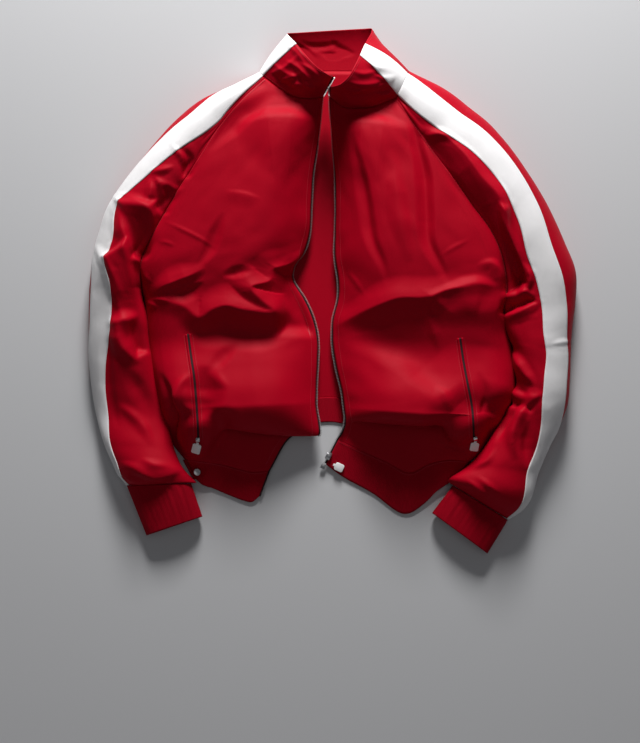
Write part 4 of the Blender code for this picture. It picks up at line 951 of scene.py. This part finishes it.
# %% Creases of the collar
CREASES = (
    (2.2, 5, 6, 0.8, ((286, 44), (296, 52), (306, 66))),
    (2.2, 5, 6, 0.8, ((292, 40), (304, 50), (318, 60))),
    (2.4, 5, 7, 0.8, ((272, 62), (284, 72), (300, 78))),
    (-2.0, 5, 5, 0.3, ((270, 72), (284, 84), (300, 90))),
    (2.2, 5, 5, 0.8, ((284, 60), (296, 66), (312, 82))),
    (2.0, 4, 5, 0.8, ((300, 78), (312, 88), (324, 92))),
    (2.0, 4, 5, 0.8, ((298, 62), (312, 70), (322, 80))),
    (2.6, 5, 7, 0.7, ((344, 80), (356, 84), (372, 84), (388, 78))),
    (-2.2, 6, 6, 0.2, ((340, 92), (356, 95), (376, 94), (392, 88))),
    (2.2, 5, 5, 0.8, ((350, 70), (362, 74), (380, 70))),
    (2.2, 5, 5, 0.8, ((362, 58), (372, 66), (388, 70))),
    (1.8, 4, 5, 0.8, ((338, 98), (350, 103), (368, 104))),
    (2.0, 4, 5, 0.8, ((374, 90), (384, 84), (396, 78))),
    (1.8, 6, 8, 0.5, ((292, 42), (304, 52), (316, 62))),
    (2.4, 6, 8, 0.6, ((330, 40), (342, 50), (356, 54))),
    (2.2, 6, 7, 0.6, ((298, 40), (310, 46), (326, 46), (340, 42))),
    (2.0, 5, 6, 0.7, ((318, 52), (334, 56), (350, 52))),
    (2.4, 5, 6, 0.9, ((268, 74), (280, 70), (292, 62), (300, 54))),
    (2.4, 5, 6, 0.9, ((276, 82), (290, 78), (304, 72))),
    (2.2, 4, 5, 0.9, ((286, 88), (298, 84), (310, 90))),
    (-2.0, 5, 5, 0.2, ((292, 70), (300, 80), (304, 92))),
    (2.2, 4, 5, 0.9, ((346, 88), (356, 92), (366, 88))),
    (2.4, 4, 6, 0.9, ((364, 98), (376, 94), (388, 94), (398, 86))),
    (2.2, 4, 5, 0.9, ((372, 74), (382, 78), (398, 76))),
)


def collar_surface(place):
    """The collar with its creases at places along the neck seam, rows from the seam to the top edge."""
    grid = plain_collar(place)
    out = unit(calmed(normals_of(grid), 3))
    u, v = squares(grid)
    rows = np.linspace(0, 1, len(grid))[:, None]
    rise = fold_height(u, v, CREASES) * ease(rows / 0.12) * ease((1 - rows) / 0.06)
    rise = rise * ease(place / 0.08) * ease((5 - place) / 0.08)
    grid = grid + rise[..., None] * out
    grid[..., 2] = np.maximum(grid[..., 2], 0)
    return grid


def plain_collar(place):
    """The collar without creases."""
    seam = read_at(place, neck_place, neck_line)
    table = np.array(COLLAR, float)
    top = spline(table[:, 0], table[:, 1:], place)
    bow, top = top[:, 3], all_at(top)
    way = top - seam
    share = np.linspace(0, 1, COLLAR_ROWS + 1)[:, None, None]
    grid = seam[None] + way[None] * share
    flat = ease((place - 1.7) / 0.3) * ease((3.3 - place) / 0.3)
    lift = (top[:, 2] - seam[:, 2])[None] * (share[..., 0] ** 3 - share[..., 0])
    grid[..., 2] += flat[None] * lift
    out = unit(np.cross(np.gradient(seam + top, axis=0), way))
    return grid + (np.sin(math.pi * share[..., 0]) * bow[None])[..., None] * out[None]


collar = collar_surface(np.interp(np.linspace(0, neck_run[-1], COLLAR_COLUMNS + 1), neck_run, neck_place))
print(len(CREASES), "creases; the collar stands", collar[..., 2].max().round(), "mm high")

# %% [markdown]
# ## Cuffs
# A cuff is a short flattened tube of rib between two rings: one where it is sewn to the sleeve, and a
# narrower one at the hand. The elastic draws it in, so it has small gathers.

# %% Cuffs
# inner end, outer end and crown of the ring at the seam, then of the ring at the hand
CUFF_LEFT = ((452.5, 485.6, 507.6, 520, 28), (432, 513, 487.5, 553.5, 24))
CUFF_RIGHT = ((191.1, 483.5, 126.8, 485.6, 31), (202.5, 516.5, 146.5, 535.5, 24))
CUFF_ROWS, CUFF_COLUMNS = 30, 150
CUFF_WIDEST, CUFF_TUCK = 0.42, 0.12  # height of a ring's widest place, and how far it draws in below
GATHERS, GATHER_DEPTH = 15, 0.5  # round the wrist, and in mm


def cuff_ring(iu, iv, ou, ov, crown):
    """One ring of a cuff, from its inner end over the top and back below."""
    side = CUFF_WIDEST * crown
    half, quarter = np.linspace(0, math.pi, 90), np.linspace(0, math.pi / 2, 16)[1:]
    line = [((1 - math.cos(a)) / 2, side + (crown - side) * math.sin(a) ** 0.75) for a in half]
    line += [(1 - CUFF_TUCK * (1 - math.cos(a)), side * (1 - math.sin(a))) for a in quarter]
    line += [(CUFF_TUCK * (1 - math.cos(a)), side * (1 - math.sin(a))) for a in quarter[::-1]]
    line = np.array(line + [(0, side)])
    run = along(line * (np.hypot(ou - iu, ov - iv), 1 / GRID))
    places = np.linspace(0, run[-1], CUFF_COLUMNS + 1)[:-1]
    q, z = np.interp(places, run, line[:, 0]), np.interp(places, run, line[:, 1])
    return np.stack([iu + (ou - iu) * q, iv + (ov - iv) * q, z], axis=1)


def cuff_tube(table, chance):
    """A cuff with its gathers, rows from the seam to the hand."""
    first, last = (cuff_ring(*row) for row in table)
    rows = np.stack([first + (last - first) * t for t in np.linspace(0, 1, CUFF_ROWS + 1)])
    return gathered(all_at(rows), chance)


def gathered(grid, chance):
    """The tube with small upright gathers, which are deepest at the seam and fade below it."""
    out = normals_of(grid, closed=True)
    rows, cols = grid.shape[:2]
    t = np.linspace(0, 1, cols, endpoint=False)[None, :]
    down = np.linspace(0, 1, rows)[:, None]
    shift = np.random.default_rng(chance).uniform(0, 2 * math.pi, 2)
    wave = np.sin(2 * math.pi * (GATHERS * t + 0.1 * np.sin(5 * down)))
    wave *= 0.6 + 0.4 * np.sin(2 * math.pi * 3 * t + shift[0])
    wave += 0.5 * np.sin(2 * math.pi * (round(GATHERS * 1.7) * t) + shift[1])
    rise = GATHER_DEPTH * wave * ease(down / 0.1) * (1 - 0.75 * down) * ease((grid[..., 2] - 3) / 6)
    return grid + rise[..., None] * out


cuff_l, cuff_r = cuff_tube(CUFF_LEFT, 4), cuff_tube(CUFF_RIGHT, 5)
print("cuff hangs", round(float(np.linalg.norm(cuff_l[-1, 30] - cuff_l[0, 30]))), "mm long")

# %% [markdown]
# ## From points to cloth
# Real wind cloth is a quarter of a millimetre thick. A mesh sheet gets two faces and a rim here, so that it
# is a closed solid that casts a true shadow and shows an edge. Each sheet also carries a map of its own
# threads in millimetres, so that the weave follows the cloth round its folds.

# %% Sheet maker
CLOTH, RIB = 0.8, 1.8  # mm, thickness of the sheets


def mesh_object(name, points, faces, material):
    """A new object in the scene, from points in mm."""
    mesh = bpy.data.meshes.new(name)
    mesh.from_pydata((np.array(points) / 1000).tolist(), [], np.array(faces).tolist())
    mesh.materials.append(material)
    obj = bpy.data.objects.new(name, mesh)
    bpy.context.scene.collection.objects.link(obj)
    return obj


def thread_run(grid, axis):
    """Distance travelled down the columns of a grid, axis 0, or along its rows, axis 1."""
    steps = np.linalg.norm(np.diff(grid, axis=axis), axis=2)
    return np.cumsum(np.pad(steps, ((1, 0), (0, 0)) if axis == 0 else ((0, 0), (1, 0))), axis=axis)


def sheet_object(name, outer, inner, material, closed=False):
    """A closed solid between an outer and an inner grid, with a map of its threads."""
    rows, cols = outer.shape[:2]
    n = rows * cols
    points = np.concatenate([outer.reshape(-1, 3), inner.reshape(-1, 3)])
    wide = cols if closed else cols - 1
    r, c = np.meshgrid(np.arange(rows - 1), np.arange(wide), indexing="ij")
    a, b = r * cols + c, r * cols + (c + 1) % cols
    e, f = b + cols, a + cols
    c = np.arange(wide)
    d, last = (c + 1) % cols, (rows - 1) * cols
    quads = [(a, b, e, f), (n + f, n + e, n + b, n + a), (c, n + c, n + d, d)]
    quads.append((last + d, n + last + d, n + last + c, last + c))
    if not closed:
        g = np.arange(rows - 1) * cols
        h = g + cols - 1
        quads += [(g + cols, n + g + cols, n + g, g), (h, n + h, n + h + cols, h + cols)]
    faces = np.concatenate([np.stack(quad, axis=-1).reshape(-1, 4) for quad in quads])
    p = points[faces]
    if np.einsum("ij,ij->", p[:, 0], np.cross(p[:, 1], p[:, 2]) + np.cross(p[:, 2], p[:, 3])) < 0:
        faces = faces[:, ::-1]
    obj = mesh_object(name, points, faces, material)
    mesh = obj.data
    mesh.polygons.foreach_set("use_smooth", np.ones(len(faces), bool))
    ring = np.concatenate([outer, outer[:, :1]], axis=1) if closed else outer
    over = thread_run(ring, 1)[:, :cols].mean(axis=0)
    down = thread_run(outer, 0).mean(axis=1)
    threads = np.stack(np.broadcast_arrays(over, down[:, None]), axis=-1)
    uv = np.concatenate([threads.reshape(-1, 2)] * 2) / 1000
    layer = mesh.uv_layers.new(name="threads")
    index = np.empty(len(mesh.loops), int)
    mesh.loops.foreach_get("vertex_index", index)
    layer.data.foreach_set("uv", uv[index].ravel().astype(np.float32))
    return obj


def cloth_object(name, grid, out, thick, material, floor=0.0, closed=False):
    """A sheet whose outer face is the grid; out is +1 or -1, the side of its normals that is outside."""
    lean = unit(calmed(out * normals_of(grid, closed), 4, closed))
    inner = grid - thick * lean
    inner[..., 2] = np.maximum(inner[..., 2], floor)
    return sheet_object(name, grid, inner, material, closed), lean


print("a sheet of cloth is", CLOTH, "mm thick and a sheet of rib", RIB, "mm")

# %% [markdown]
# ## Materials
# Wind cloth is a dense plain weave with a faint sheen. Its threads are finer than a picture point from here,
# so they show only as a soft break in the gloss; what the eye reads is the shading of the folds. The rib is
# knitted: columns of stitches that stand up in narrow ribs. The tape is a flat twill.

# %% Finishes
RED, RED_DEEP, WHITE = (0.42, 0.0, 0.012), (0.34, 0.0, 0.010), (0.86, 0.84, 0.84)
WAVE_LENGTH = 0.314  # m, what a wave texture of scale 1 takes to repeat


def plain_finish(name, colour, rough, sheen=0.0, specular=0.5, metallic=0.0):
    """A finish of one colour and one gloss."""
    material = bpy.data.materials.new(name)
    material.use_nodes = True
    inputs = material.node_tree.nodes["Principled BSDF"].inputs
    inputs["Base Color"].default_value = (*colour, 1)
    inputs["Roughness"].default_value = rough
    inputs["Sheen Weight"].default_value = sheen
    inputs["Sheen Tint"].default_value = (*(0.5 + 0.5 * c for c in colour), 1)
    inputs["Specular IOR Level"].default_value = specular
    inputs["Metallic"].default_value = metallic
    return material


def node(tree, kind, **settings):
    """A new node with its settings and the values of its sockets."""
    new = tree.nodes.new(kind)
    for key, value in settings.items():
        if key in new.bl_rna.properties:
            setattr(new, key, value)
        else:
            new.inputs[key].default_value = value
    return new


def colour_drift(tree, colour, size, amount):
    """Slow changes of tone, as from dye and handling."""
    place = node(tree, "ShaderNodeTexCoord")
    noise = node(tree, "ShaderNodeTexNoise", Scale=size, Detail=4.0, Roughness=0.6)
    ramp = node(tree, "ShaderNodeValToRGB")
    for stop, position, share in zip(ramp.color_ramp.elements, (0.3, 0.7), (1 - amount, 1 + amount)):
        stop.position, stop.color = position, (*(c * share for c in colour), 1)
    tree.links.new(place.outputs["Object"], noise.inputs["Vector"])
    tree.links.new(noise.outputs["Fac"], ramp.inputs["Fac"])
    tree.links.new(ramp.outputs["Color"], tree.nodes["Principled BSDF"].inputs["Base Color"])


def threads_bump(tree, pitch_across, pitch_down, height):
    """Warp and weft as two crossed waves on the piece's own thread map."""
    place = node(tree, "ShaderNodeTexCoord")
    mix = node(tree, "ShaderNodeMath", operation="MULTIPLY")
    for k, (direction, pitch) in enumerate((("X", pitch_across), ("Y", pitch_down))):
        looks = {"wave_type": "BANDS", "bands_direction": direction, "wave_profile": "SIN"}
        wave = node(tree, "ShaderNodeTexWave", Scale=WAVE_LENGTH / pitch, **looks)
        tree.links.new(place.outputs["UV"], wave.inputs["Vector"])
        tree.links.new(wave.outputs["Fac"], mix.inputs[k])
    bump = node(tree, "ShaderNodeBump", Strength=height, Distance=0.0003)
    tree.links.new(mix.outputs[0], bump.inputs["Height"])
    tree.links.new(bump.outputs["Normal"], tree.nodes["Principled BSDF"].inputs["Normal"])


def fabric(name, colour, rough, drift, threads, **looks):
    """A finish with drifting colour, where drift says so, and threads that stand up."""
    material = plain_finish(name, colour, rough, **looks)
    if drift:
        colour_drift(material.node_tree, colour, *drift)
    threads_bump(material.node_tree, *threads)
    return material


wind_cloth = fabric("wind_cloth", RED, 0.5, (9.0, 0.05), (0.0006, 0.0006, 0.25), sheen=0.01, specular=0.07)
rib_knit = fabric("rib_knit", RED_DEEP, 0.75, (30.0, 0.08), (0.0024, 0.0009, 0.8), sheen=0.02, specular=0.06)
white_tape = fabric("white_tape", WHITE, 0.6, (60.0, 0.02), (0.0005, 0.0005, 0.3), sheen=0.15, specular=0.3)
zip_tape = fabric("zip_tape", (0.028, 0.003, 0.006), 0.7, None, (0.0006, 0.0006, 0.4), specular=0.3)
metal = plain_finish("nickel", (0.62, 0.62, 0.63), 0.28, metallic=1.0)
tooth_grey = plain_finish("tooth_grey", (0.42, 0.41, 0.41), 0.35, metallic=0.3)
pull_white = plain_finish("pull_white", (0.93, 0.92, 0.91), 0.42)
thread_red = plain_finish("thread_red", (0.5, 0.004, 0.02), 0.5, sheen=0.2)
print("cloth and tape:", [finish.name for finish in (wind_cloth, rib_knit, white_tape, zip_tape)])

# %% [markdown]
# ## The main pieces
# Each grid becomes a sheet. The sheet rides on the jacket's body, takes its finish from a slot of the packed
# record, and stands for the imported solid of the same piece, which stays for collisions, hidden.

# %% Main pieces
made, leans = {}, {}


def piece(obj, slot=None, node_name=None, body=BODY):
    """Lets an object ride on its body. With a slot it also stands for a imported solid."""
    made[obj.name] = obj
    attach(obj, body)
    if slot:
        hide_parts(node_name)


for name, grid, out, floor in (
    ("front_left", front_l, -1, SEAM_Z),
    ("front_right", front_r, 1, SEAM_Z),
    ("sleeve_left", sleeve_l, -1, 0.0),
    ("sleeve_right", sleeve_r, 1, 0.0),
    ("back", back, 1, 0.0),
    ("collar", collar, 1, CLOTH),
):
    obj, leans[name] = cloth_object(name + "_cloth", grid, out, CLOTH, wind_cloth, floor)
    piece(obj, "red_cloth", name)
for name, grid, out, closed in (
    ("hem_band", hem, -1, False),
    ("cuff_left", cuff_l, -1, True),
    ("cuff_right", cuff_r, 1, True),
):
    obj, leans[name] = cloth_object(name + "_rib", grid, out, RIB, rib_knit, closed=closed)
    piece(obj, "red_rib", name)
collar_lean, hem_lean = leans["collar"], leans["hem_band"]
print(len(made), "main pieces")

# %% [markdown]
# ## White bands
# A white tape, 40 mm wide, is sewn on along the outer side of each sleeve and goes on over the collar. It
# lies on the cloth, so it takes the cloth's own points, raised by the thickness of a tape.

# %% White bands
TAPE_TOP, TAPE_UNDER = 0.75, 0.15  # mm over the cloth


def tape_object(name, base, lean, node_name):
    """A tape that lies on the grid base."""
    top, under = base + TAPE_TOP * lean, base + TAPE_UNDER * lean
    top[..., 2] = np.maximum(top[..., 2], 0.0)
    under[..., 2] = np.maximum(under[..., 2], 0.3)
    piece(sheet_object(name, top, under, white_tape), "white_tape", node_name)


BAND = slice(SLEEVE_IN, SLEEVE_IN + SLEEVE_BAND + 1)
tape_object("band_on_sleeve_left", sleeve_l[:, BAND], leans["sleeve_left"][:, BAND], "sleeve_band_left")
tape_object("band_on_sleeve_right", sleeve_r[:, BAND], leans["sleeve_right"][:, BAND], "sleeve_band_right")
laid = {}
for side, row, flip in (("left", sleeve_l[0], False), ("right", sleeve_r[0], True)):
    share = along(row)[BAND] / along(row)[-1]
    place = 4 - share[::-1] if flip else 1 + share
    place = np.concatenate([[place[0] - 0.002], place, [place[-1] + 0.002]])
    laid[side] = collar_surface(place)[:, 1:-1]
    lean = unit(calmed(normals_of(laid[side]), 3))
    tape_object("band_on_collar_" + side, laid[side], lean, "collar_band_" + side)
print("white bands:", sum("band_on" in name for name in made))

# %% [markdown]
# ## The front zip
# A zip half is a woven tape sewn under the front edge, with a row of moulded teeth along its free edge. It
# runs in one piece down the collar, the front and the hem band. The teeth are 2.2 mm apart, each a small
# block that is narrower at its foot than at its head.

# %% The free edge, from the collar to the foot of the hem band
ZIP_GAP, ZIP_PITCH = 0.9, 2.2  # mm from the cloth to the teeth, and from tooth to tooth


def edge_path(panel, lean, end):
    """Points every ZIP_PITCH along the free edge: where they are, the way on, outward and upward."""
    points, inward, up = [], [], []
    near = 2 if end == 0 else -3
    for grid, n, column, beside, order in (
        (collar, collar_lean, end, near, slice(None, None, -1)),
        (panel, lean, 0, 2, slice(1, None)),
        (hem, hem_lean, end, near, slice(1, None)),
    ):
        points.append(grid[order, column])
        inward.append(grid[order, beside])
        up.append(n[order, column])
    points, inward, up = (np.concatenate(a) for a in (points, inward, up))
    run = along(points)
    even = np.arange(0, run[-1], ZIP_PITCH)

    def read(a):
        for _ in range(12):
            a = np.concatenate([a[:1], 0.5 * a[1:-1] + 0.25 * (a[:-2] + a[2:]), a[-1:]])
        return read_at(even, run, a)

    way = unit(np.gradient(read(points), axis=0))
    out = read(unit(points - inward))
    out = unit(out - way * (out * way).sum(1, keepdims=True))
    side = np.cross(way, out)
    return read_at(even, run, points), way, out, side * np.sign((side * read(up)).sum(1, keepdims=True))


path_l, path_r = edge_path(front_l, lean_fl, 0), edge_path(front_r, lean_fr, -1)
print("teeth:", len(path_l[0]), "left and", len(path_r[0]), "right")

# %% [markdown]
# The teeth and the stitches are many small blocks. One mesh holds a whole row of them, which is far lighter
# than one object for each.

# %% Small blocks


def blocks(name, parts, material):
    """One mesh of many small closed blocks, each given by its 8 corners."""
    points = np.array(parts).reshape(-1, 3)
    box = np.array([(0, 1, 2, 3), (7, 6, 5, 4), (0, 4, 5, 1), (1, 5, 6, 2), (2, 6, 7, 3), (3, 7, 4, 0)])
    faces = (box[None] + 8 * np.arange(len(parts))[:, None, None]).reshape(-1, 4)
    p = points[faces[:6]]
    if np.einsum("ij,ij->", p[:, 0] - points[:8].mean(0), np.cross(p[:, 1] - p[:, 0], p[:, 2] - p[:, 0])) < 0:
        faces = faces[:, ::-1]
    return mesh_object(name, points, faces, material)


def block(centre, x, y, z, foot=1.0):
    """Corners of a block with half axes x, y, z. Its near end along y is narrower, by the share foot."""
    a = [centre - z - y - foot * x, centre - z - y + foot * x, centre - z + y + x, centre - z + y - x]
    return a + [p + 2 * z for p in a]


print("a block has", len(block(np.zeros(3), *np.eye(3))), "corners")

# %% Front zip
TAPE_DROP, TOOTH_DROP = 1.25, 0.9  # mm below the outer face of the cloth
TOOTH_HALF, TOOTH_FOOT = (0.62, 0.95, 0.75), 0.55  # half sizes in mm, and the foot's share of the width


def front_zip(side, path):
    """Tape and teeth along one free edge."""
    spots, way, out, up = path
    offsets = (-3.0, 0.0, ZIP_GAP + 0.6, ZIP_GAP + 1.7)
    tape = np.stack([spots + a * out - TAPE_DROP * up for a in offsets], axis=1)
    obj = sheet_object("zip_tape_" + side, tape + 0.2 * up[:, None], tape - 0.25 * up[:, None], zip_tape)
    piece(obj, "dark_zip", "zip_" + side)
    parts = []
    for p, w, o, n in zip(spots, way, out, up):
        x, y, z = (half * axis for half, axis in zip(TOOTH_HALF, (w, o, n)))
        parts.append(block(p + (ZIP_GAP + 2.3) * o - TOOTH_DROP * n, x, y, z, TOOTH_FOOT))
    piece(blocks("zip_teeth_" + side, parts, tooth_grey))


front_zip("left", path_l)
front_zip("right", path_r)
print("zip halves, mm long:", [round(ZIP_PITCH * len(path[0])) for path in (path_l, path_r)])

# %% [markdown]
# ## Small pieces on the cloth
# Zips and stitches follow the folds of the cloth they are sewn to. So their points are let down on it from
# above, as one lays a tape on a garment, and the strip takes its height from there.

# %% Lines laid on the cloth
FROM_ABOVE = 300  # mm, where a point starts on its way down
CLOTH_TOP = tree_of(made["front_left_cloth"], made["front_right_cloth"], made["hem_band_rib"])


def drop(points):
    """The points let down on the cloth from above."""
    points = np.array(points, float)
    for p in points.reshape(-1, 3):
        hit = CLOTH_TOP.ray_cast(Vector((p[0], p[1], FROM_ABOVE)), Vector((0, 0, -1)))
        p[2] = hit[0].z if hit[0] is not None else 0.0
    return points


def place_on_cloth(line):
    """Squares u, v let down on the cloth."""
    z = np.full(len(line), 30.0)
    for _ in range(6):
        z = drop(at(line[:, 0], line[:, 1], z))[:, 2]
    return at(line[:, 0], line[:, 1], z)


def laid_strip(mid, offsets, lifts):
    """A strip along mid on the cloth: points at offsets to its side, raised by lifts."""
    way = np.gradient(mid, axis=0)
    out = unit(np.stack([way[:, 1], -way[:, 0], 0 * way[:, 0]], axis=1))
    grid = drop(np.stack([mid + a * out for a in offsets], axis=1))
    grid[..., 2] = calmed(grid[..., 2:3], 3)[..., 0]
    return grid + np.array([(0, 0, a) for a in lifts])[None]


print("square 460, 400 of the cloth is", place_on_cloth(np.array([(460.0, 400.0)]))[0, 2].round(1), "mm high")

# %% [markdown]
# ## Stitches
# Rows of stitches hold the edges flat. Each stitch is a short bar of thread that sinks a little into the
# cloth at both ends; at a distance the row reads as a fine line that catches the light.

# %% Stitches
STITCH_PITCH, STITCH_HALF = 3.1, 0.36  # mm from stitch to stitch, and half a stitch as a share of that
THREAD_WIDE, THREAD_HIGH, THREAD_UP = 0.24, 0.2, 0.12  # mm, half sizes of a stitch and how far it stands up


def stitch_line(name, path, up=None):
    """A row of stitches along a path on the cloth."""
    run = along(path)
    even = np.arange(STITCH_PITCH, run[-1] - STITCH_PITCH, STITCH_PITCH)
    centre = read_at(even, run, path)
    n = np.tile((0.0, 0.0, 1.0), (len(path), 1)) if up is None else up
    n = unit(read_at(even, run, n))
    x = read_at(even + STITCH_PITCH * STITCH_HALF, run, path) - centre
    y = unit(np.cross(n, x))
    shown = (centre[:, 2] > 2) | (n[:, 2] > 0)  # none under the cloth that lies on the floor
    parts = [
        block(c + THREAD_UP * m, THREAD_WIDE * b, a, THREAD_HIGH * m)
        for c, a, b, m, seen in zip(centre, x, y, n, shown)
        if seen
    ]
    piece(blocks(name, parts, thread_red))


def inset(grid, lean, distance, last=False):
    """The line that runs beside a border column at a distance, and its upward ways."""
    g, n = (grid[:, ::-1], lean[:, ::-1]) if last else (grid, lean)
    g, n = g[:, :40], n[:, :40]
    place = np.array([np.interp(distance, row, np.arange(len(row))) for row in thread_run(g, 1)])
    i = np.minimum(place.astype(int), g.shape[1] - 2)
    f, k = (place - i)[:, None], np.arange(len(g))
    return g[k, i] * (1 - f) + g[k, i + 1] * f, unit(n[k, i])


# %% [markdown]
# ## Pocket zips
# Each hand pocket is a slanting slit. Two narrow welts of wind cloth meet over a coil zip, and a row of
# stitches holds each welt down.

# %% Pocket zips
POCKET_LEFT = ((460, 338), (463.5, 362), (468, 386), (472, 408), (474, 439))
POCKET_RIGHT = ((188, 334), (191, 356), (194, 376), (196.5, 404), (198.6, 441))
# Sections of the coil and of a welt: mm beside the slit, mm over the cloth
COIL = (-2.0, -1.0, -0.35, 0.35, 1.0, 2.0), (0.5, 0.7, 0.45, 0.45, 0.7, 0.5)
WELT = (1.5, 1.9, 2.7, 3.6, 4.4), (0.85, 1.3, 1.35, 0.9, 0.15)


def pocket(side, line):
    """Coil, two welts and their stitches along a line of squares."""
    run = along(line)
    mid = place_on_cloth(spline(run, line, np.linspace(0, run[-1], 70)))
    coil = laid_strip(mid, *COIL)
    obj = sheet_object("pocket_coil_" + side, coil, coil - (0, 0, 0.35), zip_tape)
    piece(obj, "dark_zip", "pocket_zip_" + side)
    for word, sign in (("inner", 1), ("outer", -1)):
        lip = laid_strip(mid, [sign * a for a in WELT[0]], WELT[1])
        piece(sheet_object(f"pocket_welt_{side}_{word}", lip, lip - (0, 0, 0.5), wind_cloth))
        stitch_line(f"pocket_stitch_{side}_{word}", laid_strip(mid, [sign * 6.0], (0.12,))[:, 0])


pocket("left", POCKET_LEFT)
pocket("right", POCKET_RIGHT)
print("pocket pieces:", sum("pocket" in name for name in made))

# %% [markdown]
# The other rows of stitches run beside the zip, along the raglan seams, round the collar and along the hem.

# %% Rows of stitches
skin_l, skin_r = leans["front_left"], leans["front_right"]
for name, grid, lean, distance, last, rows in (
    ("stitch_zip_left", front_l, skin_l, 9.5, False, slice(0, -2)),
    ("stitch_zip_right", front_r, skin_r, 9.5, False, slice(0, -2)),
    ("stitch_raglan_left", front_l, skin_l, 1.8, True, slice(0, joined - 6)),
    ("stitch_raglan_right", front_r, skin_r, 1.8, True, slice(0, joined - 6)),
):
    stitch_line(name, *inset(grid[rows], lean[rows], distance, last))
for name, grid, lean, row in (
    ("stitch_collar_top", collar, collar_lean, -3),
    ("stitch_neck", collar, collar_lean, 2),
    ("stitch_hem", hem, hem_lean, 1),
):
    stitch_line(name, grid[row], lean[row])
print("rows of stitches:", sum("stitch" in name for name in made))

# %% [markdown]
# ## Metal and moulded fittings
# The sliders, the end box, the snap and the three pull tabs already have their true shapes in the packed
# model. Real fittings have no knife edges, so each one gets a copy with its edges rounded by a bevel.

# %% Fittings
WELD = 0.00002  # m, points this near are one
FLAT, SHARP = 0.03, 0.5  # radians: faces that lie in one plane, and the least angle of an edge to round


def rounded(node_name, material, slot, width, body=BODY):
    """A copy of a packed fitting with rounded edges."""
    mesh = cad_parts[node_name].data.copy()
    mesh.name = node_name + "_rounded"
    work = bmesh.new()
    work.from_mesh(mesh)
    bmesh.ops.remove_doubles(work, verts=work.verts, dist=WELD)
    bmesh.ops.dissolve_limit(work, angle_limit=FLAT, verts=work.verts, edges=work.edges)
    edges = [e for e in work.edges if len(e.link_faces) == 2 and e.calc_face_angle() > SHARP]
    looks = {"segments": 3, "profile": 0.5, "affect": "EDGES", "clamp_overlap": True}
    bmesh.ops.bevel(work, geom=edges, offset=width / 1000, **looks)
    for face in work.faces:
        face.smooth = True
    work.to_mesh(mesh)
    work.free()
    mesh.materials.clear()
    mesh.materials.append(material)
    obj = bpy.data.objects.new(node_name + "_rounded", mesh)
    bpy.context.scene.collection.objects.link(obj)
    piece(obj, slot, node_name, body)


for node_name in ("slider_main", "slider_left", "slider_right", "zip_box"):
    rounded(node_name, metal, "silver_metal", 0.3)
rounded("hem_snap", metal, "silver_metal", 0.25)
for word in ("main", "left", "right"):
    rounded("tab_" + word, pull_white, "white_tab", 0.35, word + "_pull")
print("fittings rounded:", sum("rounded" in name for name in made))

# %% [markdown]

# %%


# %% [markdown]
# ## Floor, light and camera
# The jacket lies on a plain pale floor. A large soft lamp on the collar's side, fairly low, makes every crest
# bright above and dark below; a weak fill keeps the shadows open. The camera looks straight down.

# %% Floor
FLOOR_HALF, FLOOR_Z = 6000, -0.4  # mm
corners = [(x * FLOOR_HALF, y * FLOOR_HALF, FLOOR_Z) for x, y in ((-1, -1), (1, -1), (1, 1), (-1, 1))]
floor_finish = plain_finish("floor", (0.62, 0.62, 0.63), 0.8, specular=0.2)
floor_object = mesh_object("floor", corners, [(0, 1, 2, 3)], floor_finish)
floor_object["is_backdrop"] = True
print("floor", 2 * FLOOR_HALF / 1000, "m wide")

# %% Light and camera
SENSOR, PICTURE_HEIGHT = 36, 743  # mm, and squares in the height of the picture
scene = bpy.context.scene


def lamp(name, place, size, power):
    """A square soft lamp that looks at the jacket."""
    light = bpy.data.lights.new(name, "AREA")
    light.size, light.energy = size, power
    obj = bpy.data.objects.new(name, light)
    obj.location = place
    obj.rotation_euler = (-Vector(place)).to_track_quat("-Z", "Y").to_euler()
    scene.collection.objects.link(obj)


lamp("key", (0.05, 2.1, 0.9), 0.6, 80)
lamp("fill", (0.3, 0.2, 2.4), 1.6, 3)
lamp("low_fill", (-0.3, -1.9, 1.1), 1.4, 1.6)
scene.world = bpy.data.worlds.new("room")
scene.world.use_nodes = True
air = scene.world.node_tree.nodes["Background"].inputs
air["Color"].default_value, air["Strength"].default_value = (0.9, 0.92, 1, 1), 0.06
scene.view_settings.view_transform = "Standard"

camera = bpy.data.cameras.new("camera")
camera.sensor_fit, camera.sensor_height = "VERTICAL", SENSOR
camera.lens = SENSOR * EYE_Z / (PICTURE_HEIGHT * GRID)
camera_object = bpy.data.objects.new("camera", camera)
camera_object.location = ((EYE_U - MID_U) * GRID / 1000, (MID_V - EYE_V) * GRID / 1000, EYE_Z / 1000)
scene.collection.objects.link(camera_object)
scene.camera = camera_object
print("camera at", [round(x, 3) for x in camera_object.location], "lens", round(camera.lens, 1))

# %% [markdown]
# ## Measure
# The last cell prints the box of the finished jacket beside the box of the imported model.

# %% Finish
low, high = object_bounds()
for word, box in (("CAD box", (*cad_low, *cad_high)), ("visual box", (*low, *high))):
    print(word, [round(x, 4) for x in box])
